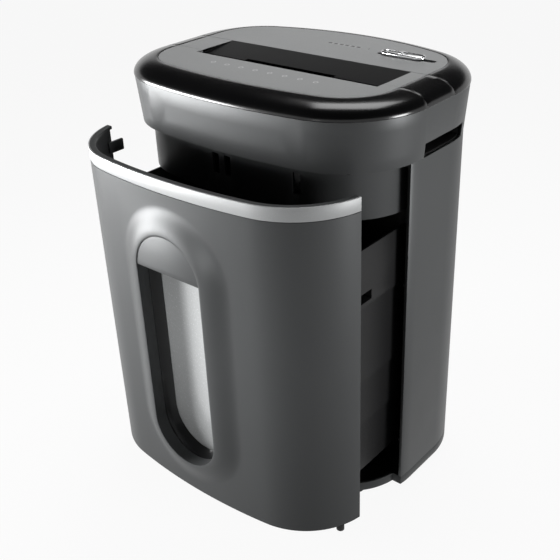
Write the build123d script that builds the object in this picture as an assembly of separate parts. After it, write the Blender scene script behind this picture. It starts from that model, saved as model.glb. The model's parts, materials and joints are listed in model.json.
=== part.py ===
from build123d import *
import os
from math import acos, atan2, cos, pi, radians, sin, sqrt, tan

# Paper shredder with a pull-out bin. Millimetres, +Z up, front at -Y, and the
# origin on the floor at the centre of the cabinet's footprint.

# Cabinet plan
cabinet_width = 321.0
cabinet_depth = 230.0
corner_radius = 81.0
front_bow_radius = 640.0
back_bow_radius = 340.0

# Levels
foot_height = 8.0
plinth_height = 10.0
cabinet_height = 352.0
head_height = 46.8
rim_height = 13.9

# Walls, gaps and fits
cabinet_wall = 3.0
head_wall = 3.0
part_gap = 0.4
seat_gap = 0.1
close_gap = 0.05
running_gap = 0.04
overcut = 1.0

# Cabinet details
floor_thickness = 4.0
plinth_inset = 10.0
plinth_wall = 3.0
top_flange_width = 6.6
top_flange_thickness = 3.5
panel_wrap = 72.0
side_rib_depth = 5.0
side_rib_thickness = 3.0
low_rib_height = 44.0
middle_rib_height = 227.0
high_rib_height = 293.0
side_rib_length = 100.0
foot_radius = 11.0
foot_stub_radius = 4.0
foot_stub_height = 2.5
foot_chamfer = 1.0
foot_side_inset = 42.5
foot_front_inset = 47.0
foot_back_inset = 39.0

# Head casing
head_flare = 4.0
base_inset = 10.0
base_wall = 2.5
base_floor_thickness = 3.0
base_depth = 48.0
base_flange_thickness = 3.0
base_nub_radius = 4.0
base_nub_height = 4.0
vent_width = 8.0
vent_height = 20.0
vent_drop = 8.0
left_vent_x = -21.5
middle_vent_x = -6.5
right_vent_x = 73.0
handhold_length = 68.0
handhold_centre_y = 9.0
handhold_height = 13.5
handhold_depth = 17.0
handhold_wall = 2.0
boss_radius = 4.5
boss_sink = 0.5
boss_height = 22.0
screw_radius = 1.5
screw_head_radius = 3.0
screw_head_height = 2.2
head_screw_angle = 52.0
gland_x = 0.0
gland_height = 24.0
gland_radius = 7.0
gland_flange_radius = 10.5
gland_flange = 2.5
gland_length = 16.0
cord_bore_radius = 4.0

# Top covers
rim_overhang = 4.5
rim_wall = 3.0
rim_steps = 6
deck_side_inset = 24.7
deck_front_inset = 22.2
deck_back_inset = 14.2
deck_corner = 50.0
deck_front_bow = 600.0
deck_back_bow = 320.0
deck_thickness = 3.0
ledge_thickness = 3.0
seam_gap = 0.4

# Feed throat
throat_width = 220.0
throat_centre_x = 9.0
throat_front_inset = 77.4
slot_gap = 8.6
throat_depth = 53.2
dish_end_gap = 1.0
dish_drop = 2.6
chute_wall = 2.0
chute_gap = 1.9
insert_depth = 12.0
insert_ledge = 4.0
card_width = 108.0
card_centre_x = 10.0
card_notch = 4.5
card_depth = 8.0
sensor_width = 10.0
sensor_height = 9.0

# Indicators and mode switch
lens_width = 42.0
lens_depth = 3.0
lens_x = 11.0
lens_back_inset = 54.0
dot_radius = 1.6
dot_offset_x = 28.5
led_count = 4
led_size = 2.4
led_height = 2.0
indicator_board_width = 70.0
indicator_board_depth = 14.0
board_thickness = 1.6
switch_side_inset = 75.5
switch_back_inset = 61.0
knob_length = 48.0
knob_width = 12.0
knob_height = 4.5
knob_travel_left = 3.0
knob_travel_right = 11.0
stem_length = 30.0
stem_width = 5.0
switch_body_height = 11.0
switch_body_wall = 3.0

# Cutters
cutter_rise = 47.0
outlet_lip = 4.0
cutter_radius = 18.0
cutter_overlap = 3.0
cutter_pitch = 8.0
disc_side_gap = 0.25
disc_teeth = 9
tooth_depth = 2.4
core_gap = 0.5
twist_step = 12.0
journal_radius = 6.0
bush_wall = 2.0
bush_flange = 1.5
bush_flange_width = 2.5
end_plate_thickness = 3.0
end_plate_side = 3.0
end_plate_rise = 24.0
end_plate_corner = 6.0
shaft_hole_gap = 2.0
clip_thickness = 1.2
clip_width = 2.0
comb_finger = 3.0
comb_bar = 3.0
comb_half_height = 13.0
comb_reach = 20.5
tie_radius = 3.0
tie_level = 20.0
nut_radius = 4.4
nut_height = 3.0

# Gear train
gear_addendum = 0.8
gear_dedendum = 1.05
gear_backlash = 0.25
pressure_angle = 20.0
sync_teeth = 20
sync_width = 7.0
drive_teeth = 45
drive_module = 1.25
drive_width = 7.0
drive_pinion_teeth = 15
idler_teeth = 42
motor_module = 1.0
idler_width = 6.0
motor_pinion_teeth = 14
gear_side_gap = 1.5
idler_angle = 15.0
motor_angle = -20.0
idler_pin_radius = 4.0
gear_cover_wall = 2.0
gear_cover_gap = 3.0

# Motor and electronics
motor_radius = 24.0
motor_length = 82.0
motor_wall = 2.0
armature_gap = 1.0
motor_shaft_radius = 3.0
fan_radius = 20.0
fan_hub_radius = 7.0
fan_width = 7.0
fan_blades = 8
board_width = 110.0
board_depth = 48.0
board_fan_gap = 2.0
board_back_inset = 31.0
board_post_height = 8.0
board_post_radius = 4.0
board_post_inset = 5.0
capacitor_radius = 7.0
capacitor_length = 22.0
relay_width = 20.0
relay_depth = 16.0
relay_height = 15.0

# Drawer
drawer_out = 73.0
panel_wall = 3.5
panel_top_gap = 4.3
panel_floor_gap = 16.7
panel_top_lip = 7.0
panel_bottom_lip = 8.0
panel_lip_thickness = 3.0
band_height = 12.9
band_thickness = 1.5
window_x = -1.5
window_half_width = 40.6
window_bottom_inset = 40.9
window_top_inset = 52.4
swell_width = 30.0
swell_rise = 7.0
swell_sink = 4.0
swell_steps = 4
window_rim = 6.0
tub_wall = 2.0
tub_depth = 12.8
tub_flange_width = 6.0
pane_thickness = 2.0
grip_height = 38.0
grip_plate_recess = 0.8
grip_wall = 2.0
grip_thickness = 3.0
grip_overlap = 3.0
tab_height = 12.0
tab_length = 13.0
tab_thickness = 5.0
tab_drop = 27.0
glide_radius = 4.0
glide_height = 8.0
glide_angle = 26.0

# Bin and its carrier
bin_side_gap = 10.5
bin_window_gap = 13.2
bin_back_gap = 22.0
bin_corner = 24.0
bin_corner_gap = 3.0
bin_wall = 2.5
bin_floor_gap = 32.0
bin_head_gap = 17.0
low_ledge_height = 61.0
middle_ledge_height = 113.0
high_ledge_height = 196.0
bin_step = 2.0
grip_recess_length = 50.0
grip_recess_height = 10.0
grip_recess_depth = 10.0
grip_recess_front = 18.0
grip_recess_rise = 2.0
carrier_thickness = 4.0
carrier_side_inset = 17.0
carrier_shelf = 12.0
runner_side_inset = 47.0
runner_width = 8.0
runner_front_inset = 12.0
runner_back_inset = 10.0
guide_width = 3.0
guide_height = 16.0
guide_front_inset = 30.0
guide_back_inset = 35.0

# Interlock
interlock_width = 6.0
interlock_length = 20.0
interlock_height = 14.0
plunger_radius = 2.0
plunger_tip = 5.0
plunger_depth = 9.0
plunger_travel = 2.5
plunger_rest_gap = 0.3

# Levels and places that follow from the sizes above
shaft_distance = 2 * cutter_radius - cutter_overlap
idler_reach = drive_module * (drive_teeth + drive_pinion_teeth) / 2
motor_reach = motor_module * (idler_teeth + motor_pinion_teeth) / 2
half_width = cabinet_width / 2
panel_front = -cabinet_depth / 2
cabinet_back = cabinet_depth / 2
plinth_bottom = foot_height
floor_top = plinth_bottom + floor_thickness
wall_bottom = plinth_bottom + plinth_height
seam_level = wall_bottom + cabinet_height
rim_bottom = seam_level + head_height
deck_top = rim_bottom + rim_height
ledge_top = deck_top - deck_thickness
ledge_bottom = ledge_top - ledge_thickness
base_bottom = seam_level - base_depth
base_floor_top = base_bottom + base_floor_thickness
flange_top = seam_level + base_flange_thickness
cutter_level = base_floor_top + cutter_rise
gland_level = seam_level + gland_height
side_front_y = panel_front + panel_wrap
deck_half_width = half_width - deck_side_inset
deck_front = panel_front + deck_front_inset
deck_back = cabinet_back - deck_back_inset
throat_front_y = panel_front + throat_front_inset
throat_back_y = throat_front_y + throat_depth
middle_front = throat_front_y + slot_gap
throat_left = throat_centre_x - throat_width / 2
throat_right = throat_centre_x + throat_width / 2
lens_y = cabinet_back - lens_back_inset
switch_x = half_width - switch_side_inset
switch_y = cabinet_back - switch_back_inset
feed_y = throat_front_y + slot_gap / 2
front_shaft_y = feed_y - shaft_distance / 2
rear_shaft_y = feed_y + shaft_distance / 2
left_plate_x = throat_left - end_plate_side
right_plate_x = throat_right + end_plate_side
gear_side_x = left_plate_x - end_plate_thickness
core_radius = shaft_distance - cutter_radius - core_gap
chute_reach = shaft_distance / 2 - slot_gap / 2 - chute_wall
chute_bottom = cutter_level + sqrt(cutter_radius**2 - chute_reach**2) + chute_gap
sync_module = shaft_distance / sync_teeth
motor_end_x = left_plate_x + motor_length + 2 * motor_wall
fan_left_x = motor_end_x + gear_side_gap
board_x = fan_left_x + fan_width + board_fan_gap + board_width / 2
board_y = cabinet_back - board_back_inset - board_depth / 2
panel_top = seam_level - panel_top_gap
panel_bottom = panel_floor_gap
panel_edge_y = side_front_y - part_gap
tab_level = seam_level - tab_drop
window_top = panel_top - window_top_inset
window_bottom = panel_bottom + window_bottom_inset
grip_bottom = window_top - grip_height
swell_front = panel_front - swell_rise
boss_back = panel_front + window_rim
tub_front = boss_back + grip_thickness
window_back = tub_front + tub_depth + pane_thickness
bin_half_width = half_width - cabinet_wall - bin_side_gap
bin_front = window_back + bin_window_gap
bin_back = cabinet_back - cabinet_wall - bin_back_gap
bin_bottom = wall_bottom + bin_floor_gap
bin_top = base_bottom - bin_head_gap
bin_ledges = [bin_bottom + height for height in (low_ledge_height, middle_ledge_height, high_ledge_height)]
grip_recess_y = bin_front + grip_recess_front + grip_recess_length / 2
carrier_half_width = bin_half_width - carrier_side_inset
runner_x = bin_half_width - runner_side_inset
runner_front = bin_front + runner_front_inset
runner_back = bin_back - runner_back_inset
guide_front = panel_front + guide_front_inset
guide_back = cabinet_back - guide_back_inset
far = 2 * (cabinet_width + cabinet_depth + cabinet_height)

os.makedirs("parts", exist_ok=True)


def save(name, *solids):
    """Writes one node; several separate solids become one group."""
    pieces = [solid for shape in solids for solid in shape.solids()]
    shape = pieces[0] if len(pieces) == 1 else Compound(children=pieces)
    export_step(shape, f"parts/{name}.step")


def block(x0, x1, y0, y1, z0, z1):
    """A box given by its faces."""
    return Pos((x0 + x1) / 2, (y0 + y1) / 2, (z0 + z1) / 2) * Box(x1 - x0, y1 - y0, z1 - z0)


def upright(radius, x, y, z0, z1):
    """A cylinder along Z."""
    return Pos(x, y, (z0 + z1) / 2) * Cylinder(radius, z1 - z0)


def crosswise(radius, x0, x1, y, z):
    """A cylinder along X."""
    return Pos((x0 + x1) / 2, y, z) * Rot(0, 90, 0) * Cylinder(radius, x1 - x0)


def lengthwise(radius, y0, y1, x, z):
    """A cylinder along Y."""
    return Pos(x, (y0 + y1) / 2, z) * Rot(90, 0, 0) * Cylinder(radius, y1 - y0)


def ring_x(outer, inner, x0, x1, y, z):
    """A plain ring along X."""
    return crosswise(outer, x0, x1, y, z) - crosswise(inner, x0 - overcut, x1 + overcut, y, z)


def outline(half_width, front, back, corner, front_bow, back_bow):
    """A plan face with straight sides, a bowed front and back, and tangent round corners."""
    run = half_width - corner
    front_reach = sqrt((front_bow - corner) ** 2 - run**2)
    back_reach = sqrt((back_bow - corner) ** 2 - run**2)
    front_y = front + front_bow - front_reach
    back_y = back - back_bow + back_reach
    front_turn = atan2(front_reach, run)
    back_turn = atan2(back_reach, run)

    def on_corner(centre_y, turn):
        return (run + corner * cos(turn), centre_y + corner * sin(turn))

    def mirrored(point):
        return (-point[0], point[1])

    front_end = on_corner(front_y, -front_turn)
    front_mid = on_corner(front_y, -front_turn / 2)
    front_side = on_corner(front_y, 0)
    back_side = on_corner(back_y, 0)
    back_mid = on_corner(back_y, back_turn / 2)
    back_end = on_corner(back_y, back_turn)
    edges = [
        ThreePointArc(mirrored(front_end), (0, front), front_end),
        ThreePointArc(front_end, front_mid, front_side),
        Line(front_side, back_side),
        ThreePointArc(back_side, back_mid, back_end),
        ThreePointArc(back_end, (0, back), mirrored(back_end)),
        ThreePointArc(mirrored(back_end), mirrored(back_mid), mirrored(back_side)),
        Line(mirrored(back_side), mirrored(front_side)),
        ThreePointArc(mirrored(front_side), mirrored(front_mid), mirrored(front_end)),
    ]
    return make_face(edges)


def plan(grow):
    """The cabinet's plan, grown outwards or, below zero, inwards."""
    return outline(
        half_width + grow,
        panel_front - grow,
        cabinet_back + grow,
        corner_radius + grow,
        front_bow_radius + grow,
        back_bow_radius + grow,
    )


def corner_point(inset, angle, side):
    """A point on a front corner's arc, moved in; the angle runs from the side to the front."""
    run = half_width - corner_radius
    centre_y = panel_front + front_bow_radius - sqrt((front_bow_radius - corner_radius) ** 2 - run**2)
    reach = corner_radius - inset
    return side * (run + reach * cos(radians(angle))), centre_y - reach * sin(radians(angle))


def rim_section(share, level, inset):
    """The rim's plan between the deck's edge at share 0 and its outer edge at share 1."""

    def between(deck_size, rim_size):
        return deck_size + share * (rim_size - deck_size)

    face = outline(
        between(deck_half_width, half_width + rim_overhang) - inset,
        between(deck_front, panel_front - rim_overhang) + inset,
        between(deck_back, cabinet_back + rim_overhang) - inset,
        between(deck_corner, corner_radius + rim_overhang) - inset,
        between(deck_front_bow, front_bow_radius + rim_overhang) - inset,
        between(deck_back_bow, back_bow_radius + rim_overhang) - inset,
    )
    return Pos(0, 0, level) * face


def deck_plan(grow):
    """The deck's plan, grown outwards."""
    return outline(
        deck_half_width + grow,
        deck_front - grow,
        deck_back + grow,
        deck_corner + grow,
        deck_front_bow + grow,
        deck_back_bow + grow,
    )


def prism(face, z0, z1):
    """A plan face raised between two levels."""
    return Pos(0, 0, z0) * extrude(face, amount=z1 - z0)


def hoop(outer, inner, z0, z1):
    """A wall between two insets of the cabinet's plan."""
    return prism(plan(outer), z0, z1) - prism(plan(inner), z0 - overcut, z1 + overcut)


def behind(y, shape):
    """The part of a shape that lies behind a Y value."""
    return shape & block(-far, far, y, far, -far, far)


def before(y, shape):
    """The part of a shape that lies in front of a Y value."""
    return shape & block(-far, far, -far, y, -far, far)


def oval(half_width, y):
    """An upright oval face across Y round the window's centre line."""
    height = window_top - window_bottom - 2 * window_half_width
    face = Rot(0, 0, 90) * SlotCenterToCenter(height, 2 * half_width)
    return Pos(window_x, y, (window_top + window_bottom) / 2) * Rot(90, 0, 0) * face


def stadium(half_width, y0, y1):
    """An upright oval block along Y round the window's centre line."""
    return extrude(oval(half_width, y1), amount=y1 - y0, dir=(0, -1, 0))


def gear(teeth, module, width, bore, x0, y, z, phase):
    """An involute spur gear along X; phase is the angle of one tooth from +Y towards +Z."""
    pitch = teeth * module / 2
    base = pitch * cos(radians(pressure_angle))
    tip = pitch + gear_addendum * module
    root = pitch - gear_dedendum * module
    slope = tan(radians(pressure_angle)) - radians(pressure_angle)

    def half_angle(radius):
        roll = acos(min(1.0, base / radius))
        return pi / (2 * teeth) - gear_backlash / (2 * pitch) + slope - (tan(roll) - roll)

    radii = [root, max(base, root + module / 20), pitch, tip]
    flank = [(radius, half_angle(radius)) for radius in radii]
    points = []
    for tooth in range(teeth):
        middle = phase + 2 * pi * tooth / teeth
        points += [(r * cos(middle - a), r * sin(middle - a)) for r, a in flank]
        points += [(r * cos(middle + a), r * sin(middle + a)) for r, a in reversed(flank)]
    face = make_face(Polyline(*points, close=True)) - Circle(bore)
    return Pos(x0, y, z) * (Plane.YZ * extrude(face, amount=width))


def mating_phase(phase, teeth, mate_teeth, direction):
    """The phase that puts a gear's gap on the tooth of a gear that lies against the direction."""
    share = (direction - phase) * teeth / (2 * pi)
    return direction + pi - (0.5 - share) * 2 * pi / mate_teeth


# Cabinet

def feet_places():
    """The four corners that the feet stand at."""
    rows = (panel_front + foot_front_inset, cabinet_back - foot_back_inset)
    return [(side * (half_width - foot_side_inset), y) for side in (-1, 1) for y in rows]


def make_cabinet_base():
    """The plinth and floor that everything stands on."""
    sides = behind(side_front_y, prism(plan(0), plinth_bottom, wall_bottom))
    body = sides + prism(plan(-plinth_inset), plinth_bottom, wall_bottom)
    body -= prism(plan(-plinth_inset - plinth_wall), floor_top, wall_bottom + overcut)
    for x, y in feet_places():
        hole_top = plinth_bottom + foot_stub_height + seat_gap
        body -= upright(foot_stub_radius + seat_gap, x, y, plinth_bottom - overcut, hole_top)
    return body


def make_feet():
    """Round rubber feet, each with a stub in the floor."""
    feet = []
    for x, y in feet_places():
        pad = upright(foot_radius, x, y, 0, plinth_bottom)
        pad = chamfer(pad.edges().group_by(Axis.Z)[0], foot_chamfer)
        stub_top = plinth_bottom + foot_stub_height
        feet.append(pad + upright(foot_stub_radius, x, y, plinth_bottom - overcut, stub_top))
    return feet


def head_screw_places():
    """Two screws in the front corners and two at the back, on the base's flange."""
    inset = head_wall + boss_radius - boss_sink
    front = [corner_point(inset, head_screw_angle, side) for side in (-1, 1)]
    back_y = cabinet_back - inset
    drop = back_bow_radius - sqrt(back_bow_radius**2 - (cabinet_width / 5) ** 2)
    back = [(side * cabinet_width / 5, back_y - drop) for side in (-1, 1)]
    return front + back


def make_cabinet_shell():
    """The U-shaped cabinet wall with its top flange and inner guide ribs."""
    wall = hoop(0, -cabinet_wall, wall_bottom, seam_level)
    wall += hoop(0, -cabinet_wall - top_flange_width, seam_level - top_flange_thickness, seam_level)
    wall = behind(side_front_y, wall)
    inner = half_width - cabinet_wall
    for side in (-1, 1):
        for height in (low_rib_height, middle_rib_height, high_rib_height):
            level = wall_bottom + height
            x0, x1 = sorted((side * (inner - side_rib_depth), side * (inner + cabinet_wall / 2)))
            y0 = side_front_y + side_rib_thickness
            rib = block(x0, x1, y0, y0 + side_rib_length, level, level + side_rib_thickness)
            wall += rib & prism(plan(-cabinet_wall / 2), level, level + side_rib_thickness)
    for x, y in head_screw_places():
        under = seam_level - top_flange_thickness
        wall -= upright(screw_radius + seat_gap, x, y, under - overcut, seam_level + overcut)
    return wall


def make_floor_guides():
    """Two pairs of rails on the floor that keep the drawer's runners straight."""
    rails = []
    for side in (-1, 1):
        for edge in (-1, 1):
            centre = side * runner_x + edge * (runner_width / 2 + part_gap + guide_width / 2)
            x0, x1 = centre - guide_width / 2, centre + guide_width / 2
            rails.append(block(x0, x1, guide_front, guide_back, floor_top, floor_top + guide_height))
    return rails


# Head casing

def head_body(gap):
    """The head's flared wall, thickened by a gap on both faces."""
    lower, upper = seam_level, rim_bottom
    outer = loft([Pos(0, 0, lower) * plan(gap), Pos(0, 0, upper) * plan(head_flare + gap)], ruled=True)
    slope = overcut * head_flare / head_height
    inner_low = Pos(0, 0, lower - overcut) * plan(-head_wall - gap - slope)
    inner_high = Pos(0, 0, upper + overcut) * plan(head_flare - head_wall - gap + slope)
    return outer - loft([inner_low, inner_high], ruled=True)


def handhold(side, grow, level):
    """The space of a side handhold, grown into its liner."""
    half = handhold_length / 2 + grow
    inner = half_width - handhold_depth - grow
    x0, x1 = sorted((side * inner, side * far))
    top = seam_level + handhold_height + grow
    return block(x0, x1, handhold_centre_y - half, handhold_centre_y + half, level, top)


def gland_wall_y():
    """The head's outer back face at the gland's level."""
    return cabinet_back + head_flare * (gland_level - seam_level) / head_height


def make_head_shell():
    """The head's outer casing with side handholds, screw bosses and the cord's hole."""
    body = head_body(0)
    for x, y in head_screw_places():
        post = upright(boss_radius, x, y, flange_top, flange_top + boss_height)
        body += post & prism(plan(-boss_sink), seam_level, rim_bottom)
        body -= upright(screw_radius + close_gap, x, y, flange_top - overcut, flange_top + boss_height / 2)
    for side in (-1, 1):
        body -= handhold(side, 0, seam_level - overcut)
    front, back = gland_wall_y() - gland_flange_radius, gland_wall_y() + gland_flange_radius
    return body - lengthwise(gland_radius + seat_gap, front, back, gland_x, gland_level)


def make_handhold_liners():
    """A shallow pocket behind each handhold."""
    liners = []
    for side in (-1, 1):
        shape = handhold(side, handhold_wall, seam_level + seat_gap)
        shape -= handhold(side, 0, seam_level + seat_gap + handhold_wall / 2)
        inside = prism(plan(-head_wall - seat_gap), seam_level, flange_top + handhold_height * 2)
        liners.append(shape & inside)
    return liners


def make_cord_gland():
    """A grommet that holds the mains lead's way through the back wall."""
    wall_y = gland_wall_y()
    front, back = wall_y - gland_length / 2, wall_y + gland_length / 4
    body = lengthwise(gland_radius, front, back, gland_x, gland_level)
    inner = wall_y - head_wall - gland_flange
    body += lengthwise(gland_flange_radius, inner, wall_y + gland_flange, gland_x, gland_level)
    body -= head_body(seat_gap) - lengthwise(gland_radius, 0, far, gland_x, gland_level)
    return body - lengthwise(cord_bore_radius, 0, far, gland_x, gland_level)


def shred_opening(z0, z1):
    """The space under the cutters that shreds fall through."""
    half = shaft_distance / 2 + cutter_radius - outlet_lip
    return block(throat_left, throat_right, feed_y - half, feed_y + half, z0, z1)


def board_post_places():
    """The control board's four corner posts."""
    dx = board_width / 2 - board_post_inset
    dy = board_depth / 2 - board_post_inset
    return [(board_x + sx * dx, board_y + sy * dy) for sx in (-1, 1) for sy in (-1, 1)]


def make_head_base():
    """The inset tub that carries the cutting unit, with its flange under the head's wall."""
    body = prism(plan(-base_inset), base_bottom, flange_top)
    body += prism(plan(-head_wall - part_gap), seam_level, flange_top)
    body -= prism(plan(-base_inset - base_wall), base_floor_top, flange_top + overcut)
    body -= shred_opening(base_bottom - overcut, base_floor_top + overcut)
    front = panel_front + base_inset
    for x in (left_vent_x, middle_vent_x, right_vent_x):
        top = seam_level - vent_drop
        sag = front_bow_radius - sqrt(front_bow_radius**2 - (abs(x) + vent_width) ** 2)
        back = front + base_wall + sag
        body -= block(x, x + vent_width, front - overcut, back + overcut, top - vent_height, top)
    for side in (-1, 1):
        x, y = corner_point(base_inset + base_wall + base_nub_radius, 2 * glide_angle, side)
        body += upright(base_nub_radius, x, y, base_bottom - base_nub_height, base_floor_top)
        body -= handhold(side, handhold_wall + seat_gap, seam_level)
    for x, y in board_post_places():
        post_top = base_floor_top + board_post_height
        post = upright(board_post_radius, x, y, base_floor_top - overcut, post_top)
        body += post - upright(screw_radius + seat_gap, x, y, base_floor_top, post_top + overcut)
    for x, y in head_screw_places():
        body -= upright(screw_radius + seat_gap, x, y, seam_level - overcut, flange_top + overcut)
    return body


def make_head_screws():
    """Screws up through the flanges into the casing's bosses."""
    screws = []
    for x, y in head_screw_places():
        under = seam_level - (top_flange_thickness if y > side_front_y else 0)
        shank = upright(screw_radius, x, y, under - overcut, flange_top + boss_height / 2 - overcut)
        screws.append(shank + upright(screw_head_radius, x, y, under - screw_head_height, under))
    return screws


# Top covers

def cover_blank():
    """The whole top before it is cut into front, sides and rear."""
    angles = [radians(90 * step / rim_steps) for step in range(rim_steps + 1)]
    rim = [rim_section(sin(a), rim_bottom + rim_height * cos(a), 0) for a in reversed(angles)]
    outer = loft(rim, ruled=True)
    depth = ledge_bottom - rim_bottom
    inner_low = rim_section(1, rim_bottom - overcut, rim_wall)
    inner = [rim_section(sin(a), rim_bottom + depth * cos(a), rim_wall) for a in reversed(angles)]
    cavity = loft([inner_low] + inner, ruled=True)
    return outer - cavity - prism(deck_plan(0), ledge_top, deck_top + overcut)


def slot_notch(z0, z1):
    """The feed slot's space in the front covers."""
    return block(throat_left, throat_right, throat_front_y, middle_front + overcut, z0, z1)


def front_of_middle(shape):
    """A top piece's share in front of the middle band."""
    return before(middle_front - seam_gap / 2, shape)


def behind_middle(shape):
    """A top piece's share behind the middle band."""
    return behind(throat_back_y + seam_gap / 2, shape)


def middle_of(shape):
    """A top piece's share in the middle band."""
    return behind(middle_front + seam_gap / 2, before(throat_back_y - seam_gap / 2, shape))


def make_front_cover(blank):
    """The front rim with its ledge and the front wall of the paper chute."""
    body = front_of_middle(blank) - slot_notch(ledge_bottom - overcut, deck_top + overcut)
    wall_front = throat_front_y - chute_wall
    return body + block(throat_left, throat_right, wall_front, throat_front_y, chute_bottom, ledge_top)


def make_side_covers(blank):
    """The left and right rims of the middle band."""
    left, right = throat_left + insert_ledge, throat_right - insert_ledge
    return middle_of(blank) - block(left, right, -far, far, ledge_bottom - overcut, ledge_top + overcut)


def switch_slot(clearance, z0, z1):
    """The slot that the mode knob's stem runs in, over its whole travel."""
    left = switch_x - stem_length / 2 - knob_travel_left - clearance
    right = switch_x + stem_length / 2 + knob_travel_right + clearance
    half = stem_width / 2 + clearance
    return block(left, right, switch_y - half, switch_y + half, z0, z1)


def lens_space(clearance, z0, z1):
    """The indicator strip's space and the dot beside it."""
    half_width, half_depth = lens_width / 2 + clearance, lens_depth / 2 + clearance
    strip = block(lens_x - half_width, lens_x + half_width, lens_y - half_depth, lens_y + half_depth, z0, z1)
    dot = upright(dot_radius + clearance, lens_x + dot_offset_x, lens_y, z0, z1)
    return strip + dot


def make_rear_cover(blank):
    """The rear rim with openings for the indicators and the mode switch."""
    body = behind_middle(blank)
    body -= lens_space(seat_gap, ledge_bottom - overcut, ledge_top + overcut)
    return body - switch_slot(part_gap, ledge_bottom - overcut, ledge_top + overcut)


def make_deck_plates():
    """The deck's front, side and rear plates."""
    blank = prism(deck_plan(-seat_gap), ledge_top, deck_top)
    front = front_of_middle(blank) - slot_notch(ledge_top - overcut, deck_top + overcut)
    left, right = throat_left - seat_gap, throat_right + seat_gap
    opening = block(left, right, -far, far, ledge_top - overcut, deck_top + overcut)
    sides = middle_of(blank) - opening
    rear = behind_middle(blank) - lens_space(seat_gap, ledge_top - overcut, deck_top + overcut)
    rear -= switch_slot(part_gap, ledge_top - overcut, deck_top + overcut)
    return front, sides, rear


def make_throat_insert():
    """The dished throat floor with the rear wall of the paper chute and the card notch."""
    y0, y1 = middle_front + seam_gap / 2, throat_back_y - seam_gap / 2
    top = block(throat_left, throat_right, y0, y1, ledge_top, deck_top)
    inner_left, inner_right = throat_left + insert_ledge + seat_gap, throat_right - insert_ledge - seat_gap
    body = top + block(inner_left, inner_right, y0, y1, deck_top - insert_depth, ledge_top)
    body += block(inner_left, inner_right, y0, y0 + chute_wall, chute_bottom, ledge_top)
    front, back = y0 - overcut, y1 - dish_end_gap
    above, low = deck_top + overcut, deck_top - dish_drop
    wedge = make_face(Polyline((front, low), (front, above), (back, above), (back, deck_top), close=True))
    side_wall = chute_wall / 2
    span = throat_width - 2 * side_wall
    body -= Pos(throat_left + side_wall, 0, 0) * (Plane.YZ * extrude(wedge, amount=span))
    notch_left, notch_right = card_centre_x - card_width / 2, card_centre_x + card_width / 2
    notch_bottom = deck_top - card_depth
    body -= block(notch_left, notch_right, y0 - overcut, y0 + card_notch, notch_bottom, deck_top + overcut)
    pocket_back = y0 + chute_wall + sensor_width + seat_gap
    return body, (y0 + chute_wall, pocket_back)


def make_paper_sensor(span):
    """The sensor block behind the chute wall that sees paper coming in."""
    y0, y1 = span
    top = deck_top - insert_depth
    left, right = throat_centre_x - sensor_width / 2, throat_centre_x + sensor_width / 2
    return block(left, right, y0, y1, top - sensor_height, top)


def make_indicators():
    """The lens, the small board under it and its lamps."""
    lens = lens_space(0, ledge_top, deck_top)
    board_left = lens_x - lens_width / 2 - (indicator_board_width - lens_width - dot_offset_x / 2) / 2
    y0, y1 = lens_y - indicator_board_depth / 2, lens_y + indicator_board_depth / 2
    board_right = board_left + indicator_board_width
    board = block(board_left, board_right, y0, y1, ledge_bottom - board_thickness, ledge_bottom)
    pitch = lens_width / led_count
    places = [lens_x + pitch * (index - (led_count - 1) / 2) for index in range(led_count)]
    places.append(lens_x + dot_offset_x)
    half = led_size / 2
    lamps = [block(x - half, x + half, lens_y - half, lens_y + half, ledge_bottom, ledge_bottom + led_height)
             for x in places]
    return lens, board, lamps


def make_mode_switch():
    """The switch body under the rear cover and the sliding knob on the deck."""
    floor = ledge_bottom - switch_body_height
    body = switch_slot(part_gap + switch_body_wall, floor, ledge_bottom)
    body -= switch_slot(part_gap, floor + switch_body_wall, ledge_bottom + overcut)
    knob_bottom = deck_top + part_gap
    half_length, half_width = stem_length / 2, stem_width / 2
    stem = block(switch_x - half_length, switch_x + half_length, switch_y - half_width, switch_y + half_width,
                 floor + switch_body_wall + part_gap, knob_bottom + overcut)
    cap = extrude(SlotOverall(knob_length, knob_width), amount=knob_height)
    cap = Pos(switch_x, switch_y, knob_bottom) * cap
    cap = fillet(cap.faces().sort_by(Axis.Z)[-1].edges(), knob_height / 3)
    return body, cap + stem


# Cutting unit

def disc_face(phase):
    """A toothed cutting disc: a hooked tip and a sloping back for each tooth."""
    step = 2 * pi / disc_teeth
    points = []
    for tooth in range(disc_teeth):
        angle = phase + tooth * step
        points.append((cutter_radius * cos(angle), cutter_radius * sin(angle)))
        root = cutter_radius - tooth_depth
        points.append((root * cos(angle + step / 8), root * sin(angle + step / 8)))
        shoulder = cutter_radius * cos(step / 4)
        points.append((shoulder * cos(angle + step * 0.6), shoulder * sin(angle + step * 0.6)))
    return make_face(Polyline(*points, close=True))


def disc_places(shift):
    """The left faces of one roller's discs, half a pitch apart between the two rollers."""
    count = int((throat_width - 2 * cutter_pitch) / cutter_pitch)
    start = throat_centre_x - count * cutter_pitch / 2 + shift
    return [start + index * cutter_pitch for index in range(count)]


def make_roller(y, shift, left_end):
    """A cutting roller: core, toothed discs and stepped ends in the bushes."""
    disc_width = cutter_pitch / 2 - disc_side_gap
    core_inset = bush_flange + part_gap
    core = crosswise(core_radius, left_plate_x + core_inset, right_plate_x - core_inset, y, cutter_level)
    right_end = right_plate_x + end_plate_thickness + bush_flange + 3 * clip_thickness
    shaft = crosswise(journal_radius, left_end, right_end, y, cutter_level)
    discs = []
    for index, x in enumerate(disc_places(shift)):
        disc = extrude(disc_face(radians(twist_step * index)), amount=disc_width)
        discs.append(Pos(x, y, cutter_level) * (Plane.YZ * disc))
    return shaft + core + discs


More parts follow.
